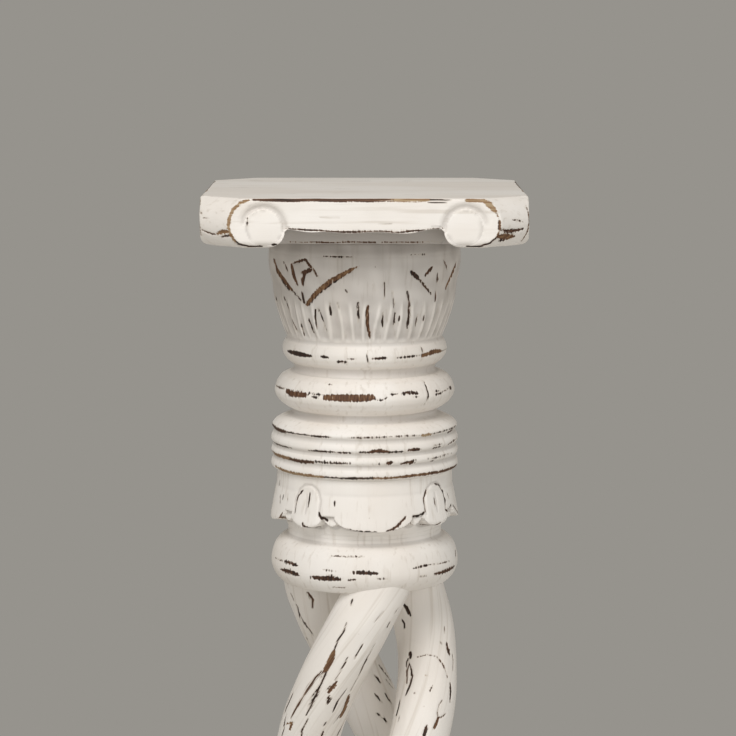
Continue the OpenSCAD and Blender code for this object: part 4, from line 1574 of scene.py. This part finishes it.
def twist() -> tuple[Strand, ...]:
    """The three strands, each with the cracks that its front shows.

    Returns:
        The strands, before they are built.
    """
    crack, line = 1.2, 0.8
    return (
        Strand("strand_a", -79, (
            Mark(((-26, 403), (-20, 412), (-18, 421), (-12, 430)), 1.8, crack, 0.12, (0.3, 0.7)),
            Mark(((-12, 430), (-4, 441), (0, 450)), 6.0, 1.6, 0.5, (0.35, 0.7), 0.3),
            Mark(((-5, 451), (-9, 458), (-8, 468), (-7, 480), (-5, 492), (-3, 504)), 2.2, 1.2,
                 0.4, (0.6, 0.4)),
            Mark(((2, 450), (7, 459), (12, 470), (17, 482), (22, 497)), 2.1, 1.2, 0.12,
                 (0.8, 0.4)),
            Mark(((-46, 381), (-40, 388)), 1.7, line, 0.12),
            Mark(((28, 423), (34, 438)), 1.7, line, 0.15, (0.4, 0.6)),
            Mark(((20, 436), (26, 450), (28, 459)), 1.7, line, 0.15, (0.4, 0.7)),
            Mark(((32, 461), (32, 468), (34, 472)), 4.6, 0.9, 0.4, (0.4, 0.3), 0.8),
            Mark(((36, 474), (46, 484)), 2.4, 0.8, 0.2, ragged=0.7),
            Mark(((54, 424), (56, 429), (60, 440), (70, 456), (74, 472)), 1.7, line, 0.2,
                 (0.3, 0.8)),
            Mark(((76, 476), (88, 489), (92, 500)), 4.4, 1.0, 0.5, (0.3, 0.6), 0.3),
            Mark(((88, 494), (84, 506)), 1.5, line, 0.2),
            Mark(((62, 468), (60, 482), (66, 493)), 1.5, line, 0.2),
            Mark(((66, 503), (66, 508)), 1.7, line, 0.12), Mark(((72, 513), (76, 524)), 2.2, line,
                                                               0.15, ragged=0.6),
            Mark(((-24, 500), (-20, 506), (-10, 515), (-4, 524)), 2.0, line, 0.2, (0.3, 0.6), 0.4),
            Mark(((-8, 510), (4, 507), (8, 515)), 3.0, 0.8, 0.6, ragged=0.9),
            Mark(((8, 413),), 1.5, 0.3, 0.2), Mark(((22, 392), (20, 403)), 1.8, line, 0.15),
            Mark(((54, 404), (58, 410)), 2.0, line, 0.15, ragged=0.3),
            Mark(((54, 391), (52, 397)), 1.3, line, 0.3),
            Mark(((-60, 470), (-52, 484), (-46, 492)), 1.8, line, 0.2),
            Mark(((-40, 478), (-36, 492), (-34, 503)), 1.7, line, 0.2, (0.3, 0.6), 0.3),
            Mark(((-44, 500), (-38, 514), (-34, 526)), 2.2, line, 0.35, (0.3, 0.6), 0.4),
            Mark(((30, 500), (32, 512), (38, 522)), 1.6, line, 0.2, (0.3, 0.6), 0.3),
        ), fuller=0.9),
        Strand("strand_b", 43, (
            Mark(((-152, 405), (-146, 409), (-140, 415)), 4.2, 1.4, 0.06, (0.3, 0.5)),
            Mark(((-158, 420), (-153, 423), (-152, 427)), 2.6, crack, 0.08, (0.5, 0.7)),
            Mark(((-136, 448), (-134, 453)), 4.0, crack, 0.12, (0.4, 0.7)),
            Mark(((-135, 453), (-142, 457), (-141, 462)), 1.7, line, 0.15, (0.6, 0.5)),
            Mark(((-135, 458), (-138, 466), (-131, 476)), 2.4, crack, 0.3, (0.4, 0.8)),
            Mark(((-133, 459), (-122, 469), (-122, 478)), 2.4, crack, 0.15, (0.4, 0.8)),
            Mark(((-122, 478), (-126, 487)), 1.8, crack, 0.15, (0.9, 0.3)),
            Mark(((-138, 492), (-137, 499), (-137, 506)), 2.2, crack, 0.12, (0.3, 0.6), 0.2),
            Mark(((-126, 505), (-126, 511)), 1.8, line, 0.15, ragged=0.3),
            Mark(((-120, 452), (-100, 449), (-88, 450), (-80, 451)), 0.9, 0.4, 0.45, (0.5, 0.9)),
            Mark(((-80, 451), (-66, 457), (-54, 464), (-45, 471)), 1.1, 0.4, 0.4, (0.8, 0.6)),
            Mark(((-60, 440), (-55, 446), (-46, 452)), 3.2, 0.9, 0.2, (0.3, 0.6), 0.4),
            Mark(((-76, 438), (-72, 441)), 1.2, 0.4, 0.3),
            Mark(((-36, 452), (-30, 458), (-28, 467)), 1.8, line, 0.2, (0.6, 0.3)),
            Mark(((-34, 476), (-28, 484), (-22, 494)), 2.4, line, 0.2, (0.4, 0.5), 0.5),
            Mark(((-47, 490), (-51, 493), (-50, 500), (-45, 504)), 1.5, line, 0.35, (0.5, 0.8)),
            Mark(((-45, 505), (-35, 505), (-27, 503)), 1.9, line, 0.35, (0.9, 0.4)),
            Mark(((-44, 505), (-43, 514)), 4.0, 1.0, 0.4, (0.4, 0.7), 0.5),
            Mark(((-96, 467), (-92, 467.4)), 1.6, 0.2, 0.9, (0.7, 0.7)),
            Mark(((-106, 482), (-106, 484)), 1.9, 0.4, 0.2), Mark(((-80, 494),), 2.0, 0.4, 0.12),
            Mark(((-77, 476), (-78, 481)), 1.2, 0.3, 0.3, ragged=0.5),
            Mark(((-62, 510), (-60, 515), (-58, 521)), 3.2, 0.9, 0.2, (0.3, 0.6), 0.3),
            Mark(((-30, 400), (-26, 412)), 1.2, 0.4, 0.35),
            Mark(((-70, 425), (-68, 432)), 1.2, 0.3, 0.35),
        )),
        Strand("strand_c", 152, (
            Mark(((78, 397), (84, 406)), 1.4, line, 0.25),
            Mark(((88, 409), (91, 412), (90, 417), (98, 428)), 1.9, crack, 0.12, (0.4, 0.8)),
            Mark(((98, 428), (108, 435), (115, 442)), 1.8, crack, 0.12, (0.8, 0.3)),
            Mark(((118, 394), (127, 402), (124, 411)), 2.4, crack, 0.35, (0.5, 0.5)),
            Mark(((76, 411),), 1.5, 0.3, 0.3), Mark(((90, 446), (92, 449)), 1.3, 0.4, 0.3),
            Mark(((-128, 476), (-116, 486), (-100, 497)), 1.5, line, 0.3, (0.3, 0.6)),
            Mark(((-148, 484), (-140, 493)), 2.2, crack, 0.12, (0.3, 0.6)),
            Mark(((-122, 491), (-108, 502)), 1.5, line, 0.2),
            Mark(((-160, 502), (-150, 512)), 1.8, line, 0.15),
            Mark(((-138, 503), (-130, 515)), 1.8, line, 0.15),
            Mark(((-166, 521), (-162, 524)), 2.2, line, 0.12),
            Mark(((-160, 525), (-150, 531)), 1.6, line, 0.2),
            Mark(((70, 384), (74, 392)), 1.2, 0.4, 0.35),
        )),
    )


# ---------------------------------------------------------------- the plinth


@dataclass(frozen=True)
class PlinthSlab:
    """The square base: three boards glued edge to edge, with cut corners and a step round it."""

    half: float = 150.0
    low: float = 3.0
    thick: float = 45.0
    corner: float = 34.0
    step_high: float = 12.0
    step_wide: float = 10.0
    joint: float = 50.0
    voxel: float = 1.7

    def blank(self) -> Piece:
        """Saws the slab and works the step round its top.

        Returns:
            The slab with fine even faces.
        """
        top = self.low + self.thick - self.step_high
        slab = sawn_slab("plinth_slab", self.half, self.low, top, self.corner)
        with editing(slab) as shape:
            bpy.ops.mesh.select_mode(type="FACE")
            for face in shape.faces:
                face.select = face.normal.z > 0.9
            bmesh.update_edit_mesh(slab.data)
            bpy.ops.mesh.inset(thickness=self.step_wide * MM)
            bpy.ops.mesh.extrude_region_move(
                TRANSFORM_OT_translate={"value": (0, 0, self.step_high * MM)})
        even_faces(slab, self.voxel, 4)
        return slab

    def build(self, material: bpy.types.Material) -> None:
        """Rubs the slab's edges, saws it at its glue joints and sets the three boards in place.

        Args:
            material: The finish.
        """
        bench = Bench(self.blank())
        dice = np.random.default_rng(17)
        for chart in side_charts(bench, 0.3, self.half - 30).values():
            marks = []
            for down, width, count in ((953, 3.4, 5), (964.5, 3.8, 6), (996, 2.6, 4)):
                for along in dice.uniform(-110, 90, count):
                    length = dice.uniform(8, 46)
                    marks.append(Mark(((along, down), (along + length, down)),
                                      width * dice.uniform(0.6, 1.2), 0.3,
                                      dice.uniform(0.1, 0.8), (0.5, 0.5), 0.4))
            for along in dice.uniform(-100, 80, 4):
                down = dice.uniform(970, 990)
                marks.append(Mark(((along, down), (along + dice.uniform(8, 30), down + 0.6)), 1.5,
                                  0.6, 0.2, (0.3, 0.3)))
            bench.cut(chart, marks)
        bench.dent += 0.2 * (1 + hand(bench.points, 44, 9)) * (bench.points[:, 2] > self.low + 1)
        bench.sink()
        bench.handle(np.full(len(bench.points), 0.55), 71)
        under = bench.points[:, 2] < self.low + 0.6
        bench.bare = np.where(under, -2.0, bench.bare)
        bench.tone = np.where(under, 0.75, bench.tone)
        bench.keep_within(self.half, self.low, self.low + self.thick)
        whole = bench.finish(bench.points[:, [1, 2, 0]])
        saw_into_boards(whole, "base", "plinth", self.joint, material)


# ---------------------------------------------------------------- fixings, light and camera


@dataclass(frozen=True)
class Fixings:
    """The dowels, spigots, screws and glides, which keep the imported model's shapes."""

    wood: PlainFinish = PlainFinish("bare_albesia", "#D8BE96", "#B8976A", 0.7)
    steel: PlainFinish = PlainFinish("zinc_plated_steel", "#C9CCD0", "#A4A8AD", 0.35, 1.0,
                                     (0.4, 6.0))
    nylon: PlainFinish = PlainFinish("moulded_nylon", "#E9E7E0", "#DAD7CE", 0.4, 0.0, (3.0, 3.0))

    def dress(self) -> None:
        """Gives each fixing its finish."""
        for finish, names in (
                (self.wood, ("abacus_dowels", "cap_spigot", "collar_spigot", "head_dowels",
                             "foot_dowels", "foot_spigot", "plinth_dowels")),
                (self.steel, ("plinth_screws",)), (self.nylon, ("floor_glides",))):
            material = finish.material()
            for name in names:
                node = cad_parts[name]
                node.data.materials.clear()
                node.data.materials.append(material)
                LOG.info("%s: %s", name, finish.name)


@dataclass(frozen=True)
class Studio:
    """A pale floor, a plain grey backdrop and four soft lights: over, before and beside it."""

    eye: tuple[float, float, float] = (0.003257, -2.6, 1.17193)
    pitch: float = 7.5615
    lens: float = 133.72
    floor_radius: float = 1.6
    floor_colour: str = "#DBD8D2"
    floor_shade: str = "#D6D3CD"
    wall_colour: str = "#96938D"

    def light(self, name: str, place: Sequence[float], size: float, power: float,
              colour: str) -> None:
        """Hangs one soft square light, aimed at the upper part of the column.

        Args:
            name: The light's name.
            place: Where it hangs, in metres.
            size: Its side, in metres.
            power: Its power in watts.
            colour: Its colour.
        """
        lamp = bpy.data.lights.new(name, "AREA")
        lamp.size, lamp.energy, lamp.color = size, power, linear(colour)[:3]
        hung = bpy.data.objects.new(name, lamp)
        hung.location = place
        hung.rotation_euler = (Vector((0, 0, 0.8)) - Vector(place)).to_track_quat(
            "-Z", "Y").to_euler()
        bpy.context.collection.objects.link(hung)

    def build(self) -> None:
        """Sets up the floor, the backdrop, the lights and the camera."""
        bpy.ops.object.select_all(action="DESELECT")
        bpy.ops.mesh.primitive_circle_add(vertices=96, radius=self.floor_radius,
                                          fill_type="NGON")
        floor = take_up("studio_floor")
        finish = PlainFinish("matt_floor", self.floor_colour, self.floor_shade, 0.8, 0.0,
                             (40.0, 40.0))
        floor.data.materials.append(finish.material())

        world = bpy.data.worlds.new("studio")
        world.use_nodes = True
        world.node_tree.nodes["Background"].inputs["Color"].default_value = linear(
            self.wall_colour)
        bpy.context.scene.world = world
        bpy.context.scene.view_settings.view_transform = "Standard"

        self.light("ceiling_softbox", (-0.5, -1.92, 2.78), 1.4, 42, "#FFFDFB")
        self.light("front_fill", (0.5, -3.0, 1.0), 1.2, 13, "#FFFFFF")
        self.light("left_fill", (-2.4, -1.6, 1.5), 0.9, 8, "#FFFFFF")
        self.light("right_fill", (2.4, -1.6, 1.5), 0.9, 10, "#FFFFFF")

        camera = bpy.data.cameras.new("camera")
        camera.lens, camera.sensor_width = self.lens, 36.0
        held = bpy.data.objects.new("camera", camera)
        held.location = self.eye
        held.rotation_euler = (math.radians(90 - self.pitch), 0, 0)
        bpy.context.collection.objects.link(held)
        bpy.context.scene.camera = held


def main() -> None:
    """Builds the object from its top down, then the studio round it."""
    logging.basicConfig(level=logging.INFO, format="%(name)s: %(message)s")
    paint = ChalkedAlbesia().material()
    ScrolledTop().build(paint)
    CapitalDrum().build(paint)
    PetalCollar().build(paint)
    TwistRings().build(paint)
    for seed, strand in enumerate(twist()):
        strand.build(paint, 100 + 10 * seed)
    FootDrum().build(paint)
    PlinthSlab().build(paint)
    Fixings().dress()
    Studio().build()


if __name__ == "__main__":
    main()
